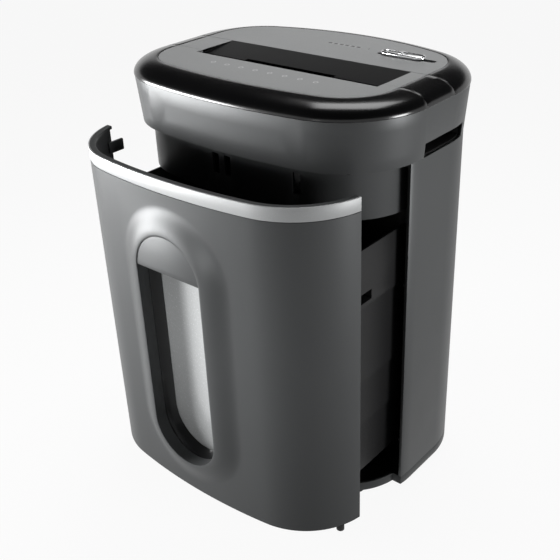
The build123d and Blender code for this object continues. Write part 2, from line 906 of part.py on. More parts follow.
def make_comb(y, side, shift):
    """A stripper comb: a bar along the roller with fingers between its discs."""
    bar_near = y + side * comb_reach
    bar_far = bar_near + side * comb_bar
    y0, y1 = sorted((bar_near, bar_far))
    low, high = cutter_level - comb_half_height, cutter_level + comb_half_height
    comb = block(left_plate_x, right_plate_x, y0, y1, low, high)
    tip = y + side * core_radius * 0.7
    f0, f1 = sorted((tip, bar_far))
    fingers = []
    gap_middle = cutter_pitch / 2 + (cutter_pitch / 2 - disc_side_gap) / 2 + disc_side_gap / 2
    for x in disc_places(shift):
        x0 = x + gap_middle - comb_finger / 2
        fingers.append(block(x0, x0 + comb_finger, f0, f1, low, high))
    comb = comb + fingers
    return comb - crosswise(core_radius + core_gap, left_plate_x, right_plate_x, y, cutter_level)


def tie_places():
    """The tie rods' centres, outside the combs above and below the rollers."""
    front_y = front_shaft_y - comb_reach - comb_bar / 2
    rear_y = rear_shaft_y + comb_reach + comb_bar / 2
    return [(y, cutter_level + sign * tie_level) for y in (front_y, rear_y) for sign in (-1, 1)]


def bush_radius():
    """A bush's outer radius."""
    return journal_radius + running_gap + bush_wall


def idler_place():
    """The reduction gear's centre."""
    turn = radians(idler_angle)
    return rear_shaft_y + idler_reach * cos(turn), cutter_level + idler_reach * sin(turn)


def motor_place():
    """The motor's centre."""
    y, z = idler_place()
    turn = radians(motor_angle)
    return y + motor_reach * cos(turn), z + motor_reach * sin(turn)


def make_end_plate(x0, back_y):
    """A steel side plate that stands on the base and carries bushes and tie rods."""
    x1 = x0 + end_plate_thickness
    margin = tie_radius + 2
    front_y = min(y for y, z in tie_places()) - margin
    plate = block(x0, x1, front_y, back_y, base_floor_top, cutter_level + end_plate_rise)
    plate = fillet(plate.edges().filter_by(Axis.X).group_by(Axis.Z)[-1], end_plate_corner)
    for y in (front_shaft_y, rear_shaft_y):
        plate -= crosswise(bush_radius() + close_gap / 2, x0 - overcut, x1 + overcut, y, cutter_level)
    for y, z in tie_places():
        plate -= crosswise(tie_radius + close_gap, x0 - overcut, x1 + overcut, y, z)
    return plate


def motor_screw_places():
    """Two screws on the motor's face, on its level diameter."""
    y, z = motor_place()
    return [(y + sign * motor_radius * 0.66, z) for sign in (-1, 1)]


def make_left_plate():
    """The gear side's plate, long enough to hold the motor."""
    motor_y, motor_z = motor_place()
    idler_y, idler_z = idler_place()
    plate = make_end_plate(gear_side_x, motor_y + motor_radius + 2)
    shaft_hole = motor_shaft_radius + shaft_hole_gap
    plate -= crosswise(shaft_hole, gear_side_x - overcut, left_plate_x + overcut, motor_y, motor_z)
    pin_hole = idler_pin_radius / 2 + close_gap
    plate -= crosswise(pin_hole, gear_side_x - overcut, left_plate_x + overcut, idler_y, idler_z)
    for y, z in motor_screw_places():
        plate -= crosswise(screw_radius + seat_gap, gear_side_x - overcut, left_plate_x + overcut, y, z)
    return plate


def make_right_plate():
    """The far side's plate."""
    margin = tie_radius + 2
    return make_end_plate(right_plate_x, max(y for y, z in tie_places()) + margin)


def make_bushes():
    """Four flanged bushes, with their flanges inside the plates."""
    bushes = []
    for y in (front_shaft_y, rear_shaft_y):
        for inner_x, away in ((left_plate_x, 1), (right_plate_x, -1)):
            x0, x1 = sorted((inner_x, inner_x - away * end_plate_thickness))
            bore = journal_radius + running_gap
            body = ring_x(bush_radius(), bore, x0, x1, y, cutter_level)
            f0, f1 = sorted((inner_x, inner_x + away * bush_flange))
            bushes.append(body + ring_x(bush_radius() + bush_flange_width, bore, f0, f1, y, cutter_level))
    return bushes


def make_tie_rods():
    """Four rods through both plates, and a nut on each end."""
    outer_right = right_plate_x + end_plate_thickness
    rods = []
    nuts = []
    for y, z in tie_places():
        rods.append(crosswise(tie_radius, gear_side_x - nut_height, outer_right + nut_height, y, z))
        for x0 in (gear_side_x - nut_height, outer_right):
            face = RegularPolygon(nut_radius, 6) - Circle(tie_radius + close_gap)
            nuts.append(Pos(x0, y, z) * (Plane.YZ * extrude(face, amount=nut_height)))
    return rods, nuts


def gear_lanes():
    """The right faces of the three gear lanes, counted outwards from the left plate."""
    sync = gear_side_x - gear_side_gap
    drive = sync - sync_width - gear_side_gap
    idler = drive - drive_width - gear_side_gap
    return sync, drive, idler


def make_gears():
    """The two sync gears, the drive gear, the reduction gear and the motor pinion."""
    sync, drive, lane = gear_lanes()
    bore = journal_radius + running_gap / 2
    front_phase = 0.0
    rear_phase = mating_phase(front_phase, sync_teeth, sync_teeth, 0.0)
    sync_size = (sync_teeth, sync_module, sync_width, bore, sync - sync_width)
    sync_front = gear(*sync_size, front_shaft_y, cutter_level, front_phase)
    sync_rear = gear(*sync_size, rear_shaft_y, cutter_level, rear_phase)
    drive_size = (drive_teeth, drive_module, drive_width, bore, drive - drive_width)
    drive_gear = gear(*drive_size, rear_shaft_y, cutter_level, 0.0)
    idler_y, idler_z = idler_place()
    pin_bore = idler_pin_radius + running_gap
    small_phase = mating_phase(0.0, drive_teeth, drive_pinion_teeth, radians(idler_angle))
    small = gear(drive_pinion_teeth, drive_module, drive_width + gear_side_gap, pin_bore,
                 drive - drive_width - gear_side_gap, idler_y, idler_z, small_phase)
    large = gear(idler_teeth, motor_module, idler_width, pin_bore, lane - idler_width, idler_y, idler_z, 0.0)
    motor_y, motor_z = motor_place()
    pinion_phase = mating_phase(0.0, idler_teeth, motor_pinion_teeth, radians(motor_angle))
    pinion = gear(motor_pinion_teeth, motor_module, idler_width, motor_shaft_radius + running_gap / 2,
                  lane - idler_width, motor_y, motor_z, pinion_phase)
    return sync_front, sync_rear, drive_gear, small + large, pinion


def make_idler_pin():
    """The fixed pin that the reduction gear turns on."""
    y, z = idler_place()
    lane = gear_lanes()[2]
    end = lane - idler_width - part_gap
    pin = crosswise(idler_pin_radius, end, gear_side_x, y, z)
    return pin + crosswise(idler_pin_radius / 2, gear_side_x - overcut, left_plate_x, y, z)


def make_clips(y):
    """The ring that keeps a roller from sliding left."""
    x0 = right_plate_x + end_plate_thickness + clip_thickness
    bore = journal_radius + running_gap / 2
    return ring_x(journal_radius + clip_width, bore, x0, x0 + clip_thickness, y, cutter_level)


def make_gear_cover():
    """A closed cap over the gears, screwed to the left plate."""
    sync, drive, lane = gear_lanes()
    pinion_tip = motor_module * motor_pinion_teeth / 2 + motor_module
    far_back_y = motor_place()[0] + pinion_tip + gear_cover_gap
    near_back_y = max(y for y, z in motor_screw_places()) + screw_head_radius + gear_cover_gap
    tip = drive_module * drive_teeth / 2 + drive_module
    rear_front_y = rear_shaft_y - tip - gear_cover_gap
    front_y = min(y for y, z in tie_places()) - nut_radius - part_gap
    low, high = cutter_level - tip - gear_cover_gap, cutter_level + tip + gear_cover_gap
    mid_x = drive + gear_side_gap / 2
    end_x = lane - idler_width - 2 * part_gap

    def hull(grow, x_open):
        near = block(mid_x - grow, x_open, front_y - grow, near_back_y + grow, low - grow, high + grow)
        front, back = rear_front_y - grow, far_back_y + grow
        return near + block(end_x - grow, x_open, front, back, low - grow, high + grow)

    return hull(gear_cover_wall, gear_side_x) - hull(0, gear_side_x + overcut)


# Motor and electronics

def make_motor():
    """The motor's can, its end cap, its armature and its cooling fan."""
    y, z = motor_place()
    x0, x1 = left_plate_x, motor_end_x - 2 * motor_wall
    can = crosswise(motor_radius, x0, x1, y, z)
    can -= crosswise(motor_radius - motor_wall, x0 + motor_wall, x1 + overcut, y, z)
    can -= crosswise(motor_shaft_radius + running_gap, x0 - overcut, x0 + motor_wall + overcut, y, z)
    for sy, sz in motor_screw_places():
        can -= crosswise(screw_radius + close_gap, x0 - overcut, x0 + motor_wall + overcut, sy, sz)
    cap = crosswise(motor_radius, x1, motor_end_x, y, z)
    cap -= crosswise(motor_shaft_radius + running_gap, x1 - overcut, x1 + 3 * motor_wall, y, z)
    lane = gear_lanes()[2]
    shaft = crosswise(motor_shaft_radius, lane - idler_width, fan_left_x + fan_width, y, z)
    core_left, core_right = x0 + 5 * motor_wall, x1 - 3 * motor_wall
    armature = shaft + crosswise(motor_radius - motor_wall - armature_gap, core_left, core_right, y, z)
    blade_face = Pos(fan_radius / 2, 0) * Rectangle(fan_radius, motor_wall)
    fan = Plane.YZ * extrude(Circle(fan_hub_radius), amount=fan_width)
    for blade in range(fan_blades):
        fan += Plane.YZ * (Rot(0, 0, 360 * blade / fan_blades) * extrude(blade_face, amount=fan_width))
    fan = Pos(fan_left_x, y, z) * fan
    fan_right_x = fan_left_x + fan_width
    fan -= crosswise(motor_shaft_radius + running_gap / 2, fan_left_x - overcut, fan_right_x + overcut, y, z)
    return can, cap, armature, fan


def make_motor_screws():
    """The two screws that hold the motor to the left plate."""
    screws = []
    for y, z in motor_screw_places():
        shank = crosswise(screw_radius, gear_side_x - overcut, left_plate_x + motor_wall, y, z)
        head_left = gear_side_x - screw_head_height
        screws.append(shank + crosswise(screw_head_radius, head_left, gear_side_x, y, z))
    return screws


def make_control_board():
    """The main board on its posts, with a capacitor, a relay and four screws."""
    low = base_floor_top + board_post_height
    high = low + board_thickness
    x0, x1 = board_x - board_width / 2, board_x + board_width / 2
    y0, y1 = board_y - board_depth / 2, board_y + board_depth / 2
    board = block(x0, x1, y0, y1, low, high)
    screws = []
    for x, y in board_post_places():
        board -= upright(screw_radius + seat_gap, x, y, low - overcut, high + overcut)
        shank = upright(screw_radius, x, y, low - board_post_height / 2, high + overcut)
        screws.append(shank + upright(screw_head_radius, x, y, high, high + screw_head_height))
    capacitor = upright(capacitor_radius, x0 + board_width / 3, board_y, high, high + capacitor_length)
    relay_left = x0 + board_width * 0.6
    relay = block(relay_left, relay_left + relay_width, board_y - relay_depth / 2, board_y + relay_depth / 2,
                  high, high + relay_height)
    return board, capacitor, relay, screws


# Drawer, drawn closed

def opened(shape):
    """A drawer piece, moved to where the drawer stands."""
    return Pos(0, -drawer_out, 0) * shape


def carrier_level():
    """The underside of the carrier plate that the bin stands on."""
    return bin_bottom - carrier_thickness


def make_swell():
    """The soft swelling of the panel round the window, from its foot up to the window's edge."""
    sections = [oval(window_half_width + swell_width, boss_back)]
    for step in range(swell_steps + 1):
        share = step / swell_steps
        rise = (swell_sink + swell_rise) * share**2 * (3 - 2 * share)
        width = window_half_width + swell_width * (1 - share)
        sections.append(oval(width, panel_front + swell_sink - rise))
    return loft(sections, ruled=True)


def make_drawer_front():
    """The wrapping front panel with its lips, window swelling, shelf and interlock tab."""
    shell = hoop(0, -panel_wall, panel_bottom, panel_top)
    shell += hoop(0, -panel_top_lip, panel_top - panel_lip_thickness, panel_top)
    shell += hoop(0, -panel_bottom_lip, panel_bottom, panel_bottom + panel_lip_thickness)
    shelf_top = carrier_level()
    shell += hoop(0, -carrier_shelf, shelf_top - panel_lip_thickness, shelf_top)
    shell += make_swell()
    shell = before(panel_edge_y, shell)
    shell -= hoop(overcut, -band_thickness, panel_top - band_height, panel_top + overcut)
    shell -= stadium(window_half_width, swell_front - overcut, boss_back + overcut)
    for x, y in drawer_screw_places():
        under = shelf_top - panel_lip_thickness
        shell -= upright(screw_radius + seat_gap, x, y, under - overcut, shelf_top + overcut)
    inner = half_width - cabinet_wall - part_gap
    low, high = tab_level - tab_height / 2, tab_level + tab_height / 2
    root, tip = panel_edge_y - tab_length / 2, panel_edge_y + tab_length
    tab = block(-inner, -inner + tab_thickness, root, tip, low, high)
    shell += before(panel_edge_y, tab)
    return shell + (behind(panel_edge_y, tab) & prism(plan(-cabinet_wall - part_gap), low, high))


def make_silver_band():
    """The trim band let into the panel's top edge."""
    gap = close_gap
    band = hoop(0, -band_thickness + gap, panel_top - band_height + gap, panel_top)
    return before(panel_edge_y, band)


def make_grip_plate():
    """The D-shaped plate across the window's top that fingers pull on."""
    plate = stadium(window_half_width + grip_overlap, boss_back, tub_front)
    reach = window_half_width - part_gap
    plate_front = swell_front + grip_plate_recess
    plate += stadium(reach, plate_front, tub_front)
    plate -= stadium(reach - grip_wall, plate_front + grip_thickness, tub_front + overcut)
    return plate & block(-far, far, -far, far, grip_bottom, far)


def make_window():
    """The recessed window: a tub behind the panel and the clear pane at its back."""
    flange = stadium(window_half_width + tub_flange_width, boss_back, tub_front)
    flange -= stadium(window_half_width, boss_back - overcut, tub_front + overcut)
    keep = block(-far, far, -far, far, -far, grip_bottom - seat_gap)
    back = window_back - pane_thickness
    wall = stadium(window_half_width + tub_flange_width, tub_front, tub_front + tub_wall)
    wall += stadium(window_half_width + tub_wall, tub_front, back)
    wall -= stadium(window_half_width, tub_front - overcut, back + overcut)
    pane = stadium(window_half_width + tub_wall, back, window_back)
    return (flange & keep) + wall, pane


def drawer_screw_places():
    """Four screws along the panel's shelf."""
    inset = (carrier_shelf + panel_wall) / 2
    corners = [corner_point(inset, 2 * glide_angle, side) for side in (-1, 1)]
    x = cabinet_width / 4
    sag = front_bow_radius - sqrt(front_bow_radius**2 - x**2)
    return corners + [(side * x, panel_front + inset + sag) for side in (-1, 1)]


def make_carrier():
    """The plate under the bin, screwed to the panel's shelf, with two runners below."""
    low = carrier_level()
    plate = before(runner_front, prism(plan(-panel_wall - seat_gap), low, bin_bottom))
    half = carrier_half_width
    plate += block(-half, half, runner_front - overcut, runner_back, low, bin_bottom)
    window_reach = window_half_width + swell_width + part_gap
    plate -= stadium(window_reach, panel_front - overcut, boss_back + part_gap)
    bottom = wall_bottom + part_gap
    for side in (-1, 1):
        x0 = side * runner_x - runner_width / 2
        plate += block(x0, x0 + runner_width, runner_front, runner_back, bottom, low + overcut)
    for x, y in drawer_screw_places():
        plate -= upright(screw_radius + seat_gap, x, y, low - overcut, bin_bottom + overcut)
    return plate


def make_drawer_screws():
    """Screws up through the shelf into the carrier."""
    screws = []
    under = carrier_level() - panel_lip_thickness
    for x, y in drawer_screw_places():
        shank = upright(screw_radius, x, y, under - overcut, bin_bottom - overcut)
        screws.append(shank + upright(screw_head_radius, x, y, under - screw_head_height, under))
    return screws


def bin_tier(inset, z0, z1, step):
    """One tier of the bin, drawn in by its step, with back corners that follow the cabinet wall."""
    half = bin_half_width - inset - step
    depth = bin_back - bin_front - 2 * inset
    corner = max(bin_corner - inset, bin_wall)
    middle = (bin_front + bin_back) / 2
    tier = Pos(0, middle, z0) * extrude(RectangleRounded(2 * half, depth, corner), amount=z1 - z0)
    return tier & prism(plan(-cabinet_wall - bin_corner_gap - inset - step), z0, z1)


def make_bin():
    """The stepped waste bin with a finger recess in each side."""
    levels = [bin_bottom, *bin_ledges, bin_top]
    tiers = len(levels) - 1
    shell = None
    hollow = None
    for tier in range(tiers):
        step = bin_step * (tiers - 1 - tier)
        outer = bin_tier(0, levels[tier], levels[tier + 1], step)
        inner = bin_tier(bin_wall, levels[tier] + bin_wall, levels[tier + 1] + bin_wall + overcut, step)
        shell = outer if shell is None else shell + outer
        hollow = inner if hollow is None else hollow + inner
    shell -= hollow
    low = bin_ledges[-1] + bin_wall + grip_recess_rise
    half = grip_recess_length / 2
    for side in (-1, 1):
        deep, near = bin_half_width - grip_recess_depth, bin_half_width - bin_wall / 2
        x0, x1 = sorted((side * (deep - bin_wall), side * near))
        shell += block(x0, x1, grip_recess_y - half - bin_wall, grip_recess_y + half + bin_wall,
                       low - bin_wall, low + grip_recess_height + bin_wall)
        x0, x1 = sorted((side * deep, side * far))
        shell -= block(x0, x1, grip_recess_y - half, grip_recess_y + half, low, low + grip_recess_height)
    return shell


def make_glides():
    """Two small nubs under the panel's front corners."""
    glides = []
    for side in (-1, 1):
        x, y = corner_point(panel_bottom_lip / 2, glide_angle, side)
        nub = upright(glide_radius, x, y, panel_bottom - glide_height, panel_bottom)
        glides.append(chamfer(nub.edges().group_by(Axis.Z)[0], glide_radius / 4))
    return glides


# Interlock

def make_interlock():
    """The safety switch on the base's left wall and the plunger that the panel's tab faces."""
    outer = -half_width + base_inset
    x0, x1 = outer - interlock_width, outer
    tab_end = panel_edge_y + tab_length
    y0 = tab_end + plunger_rest_gap + plunger_tip
    low, high = tab_level - interlock_height / 2, tab_level + interlock_height / 2
    body = block(x0, x1, y0, y0 + interlock_length, low, high)
    x = (x0 + x1) / 2
    bore_end = y0 + plunger_depth + plunger_travel + part_gap
    body -= lengthwise(plunger_radius + running_gap, y0 - overcut, bore_end, x, tab_level)
    plunger = lengthwise(plunger_radius, y0 - plunger_tip, y0 + plunger_depth, x, tab_level)
    return body, plunger


def main():
    """Makes every piece and writes it."""
    save("cabinet_base", make_cabinet_base())
    save("rubber_feet", *make_feet())
    save("cabinet_shell", make_cabinet_shell())
    save("floor_guides", *make_floor_guides())
    save("head_shell", make_head_shell())
    save("handhold_liners", *make_handhold_liners())
    save("cord_gland", make_cord_gland())
    save("head_base", make_head_base())
    save("head_screws", *make_head_screws())

    blank = cover_blank()
    save("front_cover", make_front_cover(blank))
    save("side_covers", make_side_covers(blank))
    save("rear_cover", make_rear_cover(blank))
    front_deck, side_decks, rear_deck = make_deck_plates()
    save("front_deck_plate", front_deck)
    save("side_deck_plates", side_decks)
    save("rear_deck_plate", rear_deck)
    insert, sensor_span = make_throat_insert()
    save("throat_insert", insert)
    save("paper_sensor", make_paper_sensor(sensor_span))
    lens, indicator_board, lamps = make_indicators()
    save("indicator_lens", lens)
    save("indicator_board", indicator_board)
    save("indicator_lamps", *lamps)
    switch_body, knob = make_mode_switch()
    save("mode_switch", switch_body)
    save("mode_knob", knob)

    shift = cutter_pitch / 2
    sync, drive, lane = gear_lanes()
    save("cutter_roller_front", make_roller(front_shaft_y, 0, sync - sync_width))
    save("cutter_roller_rear", make_roller(rear_shaft_y, shift, drive - drive_width))
    save("stripper_comb_front", make_comb(front_shaft_y, -1, 0))
    save("stripper_comb_rear", make_comb(rear_shaft_y, 1, shift))
    save("left_end_plate", make_left_plate())
    save("right_end_plate", make_right_plate())
    save("shaft_bushes", *make_bushes())
    rods, nuts = make_tie_rods()
    save("tie_rods", *rods)
    save("tie_rod_nuts", *nuts)
    sync_front, sync_rear, drive_gear, reduction_gear, pinion = make_gears()
    save("sync_gear_front", sync_front)
    save("sync_gear_rear", sync_rear)
    save("drive_gear", drive_gear)
    save("reduction_gear", reduction_gear)
    save("motor_pinion", pinion)
    save("reduction_gear_pin", make_idler_pin())
    save("retaining_clip_front", make_clips(front_shaft_y))
    save("retaining_clip_rear", make_clips(rear_shaft_y))
    save("gear_cover", make_gear_cover())
    can, cap, armature, fan = make_motor()
    save("motor_can", can)
    save("motor_end_cap", cap)
    save("motor_armature", armature)
    save("cooling_fan", fan)
    save("motor_screws", *make_motor_screws())
    board, capacitor, relay, board_screws = make_control_board()
    save("control_board", board)
    save("capacitor", capacitor)
    save("relay", relay)
    save("board_screws", *board_screws)

    save("drawer_front", opened(make_drawer_front()))
    save("silver_band", opened(make_silver_band()))
    save("grip_plate", opened(make_grip_plate()))
    tub, pane = make_window()
    save("window_tub", opened(tub))
    save("window_pane", opened(pane))
    save("bin_carrier", opened(make_carrier()))
    save("drawer_screws", *[opened(screw) for screw in make_drawer_screws()])
    save("waste_bin", opened(make_bin()))
    save("drawer_glides", *[opened(glide) for glide in make_glides()])

    switch, plunger = make_interlock()
    save("interlock_switch", switch)
    save("interlock_plunger", plunger)


main()
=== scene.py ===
"""Looks of a paper shredder with a pull-out bin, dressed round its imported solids."""

import dataclasses
import json
import logging
import math
from dataclasses import dataclass
from enum import Enum
from typing import Optional, Sequence, Union

import bmesh
import bpy
from mathutils import Matrix, Vector


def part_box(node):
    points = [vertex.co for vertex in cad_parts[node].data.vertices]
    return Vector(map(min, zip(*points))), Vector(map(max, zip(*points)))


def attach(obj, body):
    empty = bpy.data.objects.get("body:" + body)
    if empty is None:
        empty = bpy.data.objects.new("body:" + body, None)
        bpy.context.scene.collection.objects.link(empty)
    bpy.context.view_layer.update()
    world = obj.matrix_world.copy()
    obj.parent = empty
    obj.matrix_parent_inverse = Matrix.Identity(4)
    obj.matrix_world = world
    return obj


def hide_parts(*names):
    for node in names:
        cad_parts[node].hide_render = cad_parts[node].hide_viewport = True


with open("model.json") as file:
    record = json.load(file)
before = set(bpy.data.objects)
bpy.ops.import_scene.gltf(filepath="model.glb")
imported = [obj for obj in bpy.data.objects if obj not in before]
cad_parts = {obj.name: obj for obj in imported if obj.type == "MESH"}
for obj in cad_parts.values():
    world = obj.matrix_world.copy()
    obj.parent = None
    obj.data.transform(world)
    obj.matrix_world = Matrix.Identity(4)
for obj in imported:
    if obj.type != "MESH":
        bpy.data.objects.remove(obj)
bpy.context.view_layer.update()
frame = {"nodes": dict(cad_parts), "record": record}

LOG = logging.getLogger("shredder")
MM = 0.001
MERGE = 1e-6
FLAT = math.radians(0.02)
SHARP = math.radians(32.0)
BOW_STEPS = 14
CORNER_STEPS = 22
SIDE_STEPS = 8
Colour = tuple[float, float, float]
Point = tuple[float, float, float]
Value = Union["Sock", float, int, Sequence[float]]


class Body(Enum):
    """The moving bodies of the machine."""

    SHREDDER = "shredder"
    DRAWER = "drawer"
    KNOB = "knob"


class Sock:
    """A shader value that Python operators can work on."""

    def __init__(self, shade: "Shade", socket: bpy.types.NodeSocket) -> None:
        """Keeps the socket and the material it belongs to.

        Args:
            shade: The material under construction.
            socket: The output socket to wrap.
        """
        self.shade = shade
        self.socket = socket

    def __add__(self, other: Value) -> "Sock":
        """The sum of two values."""
        return self.shade.math("ADD", self, other)

    def __sub__(self, other: Value) -> "Sock":
        """This value less another."""
        return self.shade.math("SUBTRACT", self, other)

    def __rsub__(self, other: Value) -> "Sock":
        """Another value less this one."""
        return self.shade.math("SUBTRACT", other, self)

    def __mul__(self, other: Value) -> "Sock":
        """The product of two values."""
        return self.shade.math("MULTIPLY", self, other)

    __radd__ = __add__
    __rmul__ = __mul__

    def above(self, edge: float, soft: float) -> "Sock":
        """A mask that rises from 0 to 1 over a soft edge.

        Args:
            edge: The value at the middle of the rise.
            soft: Half the width of the rise.

        Returns:
            The mask.
        """
        settings = {"interpolation_type": "SMOOTHSTEP"}
        inputs = {"Value": self, "From Min": edge - soft, "From Max": edge + soft}
        return self.shade.node("ShaderNodeMapRange", settings, inputs)


class Shade:
    """A material under construction."""

    def __init__(self, name: str) -> None:
        """Starts an empty node material.

        Args:
            name: The material's name.
        """
        self.material = bpy.data.materials.new(name)
        self.material.use_nodes = True
        self.tree = self.material.node_tree
        self.tree.nodes.clear()
        self.place = self.node("ShaderNodeTexCoord", out="Object")

    def node(
        self,
        kind: str,
        settings: Optional[dict] = None,
        inputs: Optional[dict] = None,
        out: Union[int, str] = 0,
    ) -> Sock:
        """Adds a node, sets it up and links its sockets.

        Args:
            kind: The node's type.
            settings: Attributes set before the sockets; "stops" fills a colour ramp.
            inputs: Values or links by socket name or index.
            out: The output socket to hand back.

        Returns:
            The wrapped output socket.
        """
        made = self.tree.nodes.new(kind)
        for key, value in (settings or {}).items():
            if key == "stops":
                self._fill_ramp(made.color_ramp, value)
            else:
                setattr(made, key, value)
        for key, value in (inputs or {}).items():
            if isinstance(value, Sock):
                self.tree.links.new(value.socket, made.inputs[key])
            elif isinstance(value, tuple) and made.inputs[key].type == "RGBA":
                made.inputs[key].default_value = (*value, 1.0)
            else:
                made.inputs[key].default_value = value
        return Sock(self, made.outputs[out]) if made.outputs else Sock(self, None)

    @staticmethod
    def _fill_ramp(ramp: bpy.types.ColorRamp, stops: Sequence[tuple[float, float]]) -> None:
        """Sets a grey ramp's stops.

        Args:
            ramp: The ramp to fill.
            stops: Pairs of place and grey level.
        """
        while len(ramp.elements) < len(stops):
            ramp.elements.new(0.5)
        for element, (place, grey) in zip(ramp.elements, stops):
            element.position = place
            element.color = (grey, grey, grey, 1.0)

    def math(self, operation: str, first: Value, second: Value) -> Sock:
        """A Math node on two values."""
        return self.node("ShaderNodeMath", {"operation": operation}, {0: first, 1: second})

    def noise(self, size_mm: float, detail: float = 2.0, stretch: Point = (1.0, 1.0, 1.0)) -> Sock:
        """Noise whose features are about a given size.

        Args:
            size_mm: The size of one feature.
            detail: How many finer layers are added.
            stretch: How the pattern is scaled along each axis.

        Returns:
            The noise's value from 0 to 1.
        """
        spot = self.node("ShaderNodeMapping", None, {"Vector": self.place, "Scale": stretch})
        return self.node(
            "ShaderNodeTexNoise", None, {"Vector": spot, "Scale": 1.0 / (size_mm * MM), "Detail": detail}
        )

    def mixed(self, share: Sock, first: Union[Colour, Sock], second: Union[Colour, Sock]) -> Sock:
        """Two colours mixed by a share from 0 to 1."""
        return self.node("ShaderNodeMix", {"data_type": "RGBA"}, {0: share, 6: first, 7: second}, 2)

    def bump(self, height: Sock, depth_mm: float) -> Sock:
        """A normal from a height map.

        Args:
            height: The height from 0 to 1.
            depth_mm: The real depth of the map.

        Returns:
            The bumped normal.
        """
        inputs = {"Height": height, "Strength": 1.0, "Distance": depth_mm * MM}
        return self.node("ShaderNodeBump", None, inputs)

    def surface(self, inputs: dict) -> bpy.types.Material:
        """Closes the material with one principled surface.

        Args:
            inputs: Values or links for the surface's sockets.

        Returns:
            The finished material.
        """
        shader = self.node("ShaderNodeBsdfPrincipled", None, inputs)
        self.node("ShaderNodeOutputMaterial", None, {"Surface": shader})
        return self.material


def scaled(colour: Colour, share: float) -> Colour:
    """A colour made darker or lighter."""
    return (colour[0] * share, colour[1] * share, colour[2] * share)


@dataclass(frozen=True)
class FleckedPaint:
    """Satin plastic with fine bright metal flecks under its skin."""

    name: str
    colour: Colour
    roughness: float
    metallic: float
    fleck: float
    specular: float = 0.5
    grain_mm: float = 0.015

    def body(self, shade: Shade) -> Sock:
        """The clouded colour with its flecks.

        Args:
            shade: The material under construction.

        Returns:
            The colour.
        """
        cloud = shade.noise(90.0, 3.0)
        flecks = shade.noise(0.5, 1.0).above(0.66, 0.05)
        base = shade.mixed(cloud, scaled(self.colour, 0.94), scaled(self.colour, 1.06))
        return shade.mixed(flecks * self.fleck, base, scaled(self.colour, 2.4))

    def make(self) -> bpy.types.Material:
        """Builds the material.

        Returns:
            The finished material.
        """
        shade = Shade(self.name)
        return self.close(shade, self.body(shade))

    def close(self, shade: Shade, colour: Sock) -> bpy.types.Material:
        """Ends the material in a satin skin with faint smears.

        Args:
            shade: The material under construction.
            colour: The colour under the skin.

        Returns:
            The finished material.
        """
        smear = shade.noise(38.0, 4.0)
        skin = shade.noise(1.1, 2.0)
        return shade.surface({
            "Base Color": colour,
            "Metallic": self.metallic,
            "Roughness": smear * 0.08 + (self.roughness - 0.04),
            "Specular IOR Level": self.specular,
            "Normal": shade.bump(skin, self.grain_mm),
        })


@dataclass(frozen=True)
class MarkedPaint(FleckedPaint):
    """The deck's paint with a row of small plain printed rings."""

    first: tuple[float, float] = (-59.3, -56.3)
    step: tuple[float, float] = (17.9, 0.0)
    count: int = 8
    ring_mm: float = 2.1
    line_mm: float = 0.42
    ink: Colour = (0.8, 0.81, 0.81)

    def make(self) -> bpy.types.Material:
        """Builds the material.

        Returns:
            The finished material.
        """
        shade = Shade(self.name)
        printed = self._rings(shade)
        return self.close(shade, shade.mixed(printed * 0.8, self.body(shade), self.ink))

    def _rings(self, shade: Shade) -> Sock:
        """A mask of the printed rings.

        Args:
            shade: The material under construction.

        Returns:
            The mask, 1 on the ink.
        """
        across = shade.node("ShaderNodeSeparateXYZ", None, {0: shade.place}, "X")
        along = shade.node("ShaderNodeSeparateXYZ", None, {0: shade.place}, "Y")
        ink = None
        for number in range(self.count):
            x, y = ((start + number * step) * MM for start, step in zip(self.first, self.step))
            dx, dy = across - x, along - y
            reach = shade.math("SQRT", dx * dx + dy * dy, 0.0)
            off = shade.math("ABSOLUTE", reach - self.ring_mm * MM, 0.0)
            ring = 1.0 - off.above(self.line_mm * MM, 0.12 * MM)
            ink = ring if ink is None else shade.math("MAXIMUM", ink, ring)
        return ink


@dataclass(frozen=True)
class GlossMoulding:
    """Polished black plastic with faint wipe marks in its shine."""

    name: str
    colour: Colour
    roughness: float
    specular: float = 0.5

    def make(self) -> bpy.types.Material:
        """Builds the material.

        Returns:
            The finished material.
        """
        shade = Shade(self.name)
        wipe = shade.noise(24.0, 4.0, (1.0, 0.35, 1.0))
        dust = shade.noise(0.8, 1.0).above(0.8, 0.03)
        ripple = shade.noise(55.0, 1.0)
        return shade.surface({
            "Base Color": shade.mixed(dust * 0.2, self.colour, scaled(self.colour, 4.0)),
            "Roughness": wipe * 0.06 + (dust * 0.1 + (self.roughness - 0.03)),
            "Specular IOR Level": self.specular,
            "Normal": shade.bump(ripple, 0.03),
        })


@dataclass(frozen=True)
class MattMoulding:
    """Grained moulded plastic."""

    name: str
    colour: Colour
    roughness: float
    grain_mm: float
    depth_mm: float
    specular: float = 0.5

    def make(self) -> bpy.types.Material:
        """Builds the material.

        Returns:
            The finished material.
        """
        shade = Shade(self.name)
        cloud = shade.noise(45.0, 3.0)
        grain = shade.noise(self.grain_mm, 3.0)
        return shade.surface({
            "Base Color": shade.mixed(cloud, scaled(self.colour, 0.85), scaled(self.colour, 1.15)),
            "Roughness": grain * 0.16 + (self.roughness - 0.08),
            "Specular IOR Level": self.specular,
            "Normal": shade.bump(grain, self.depth_mm),
        })


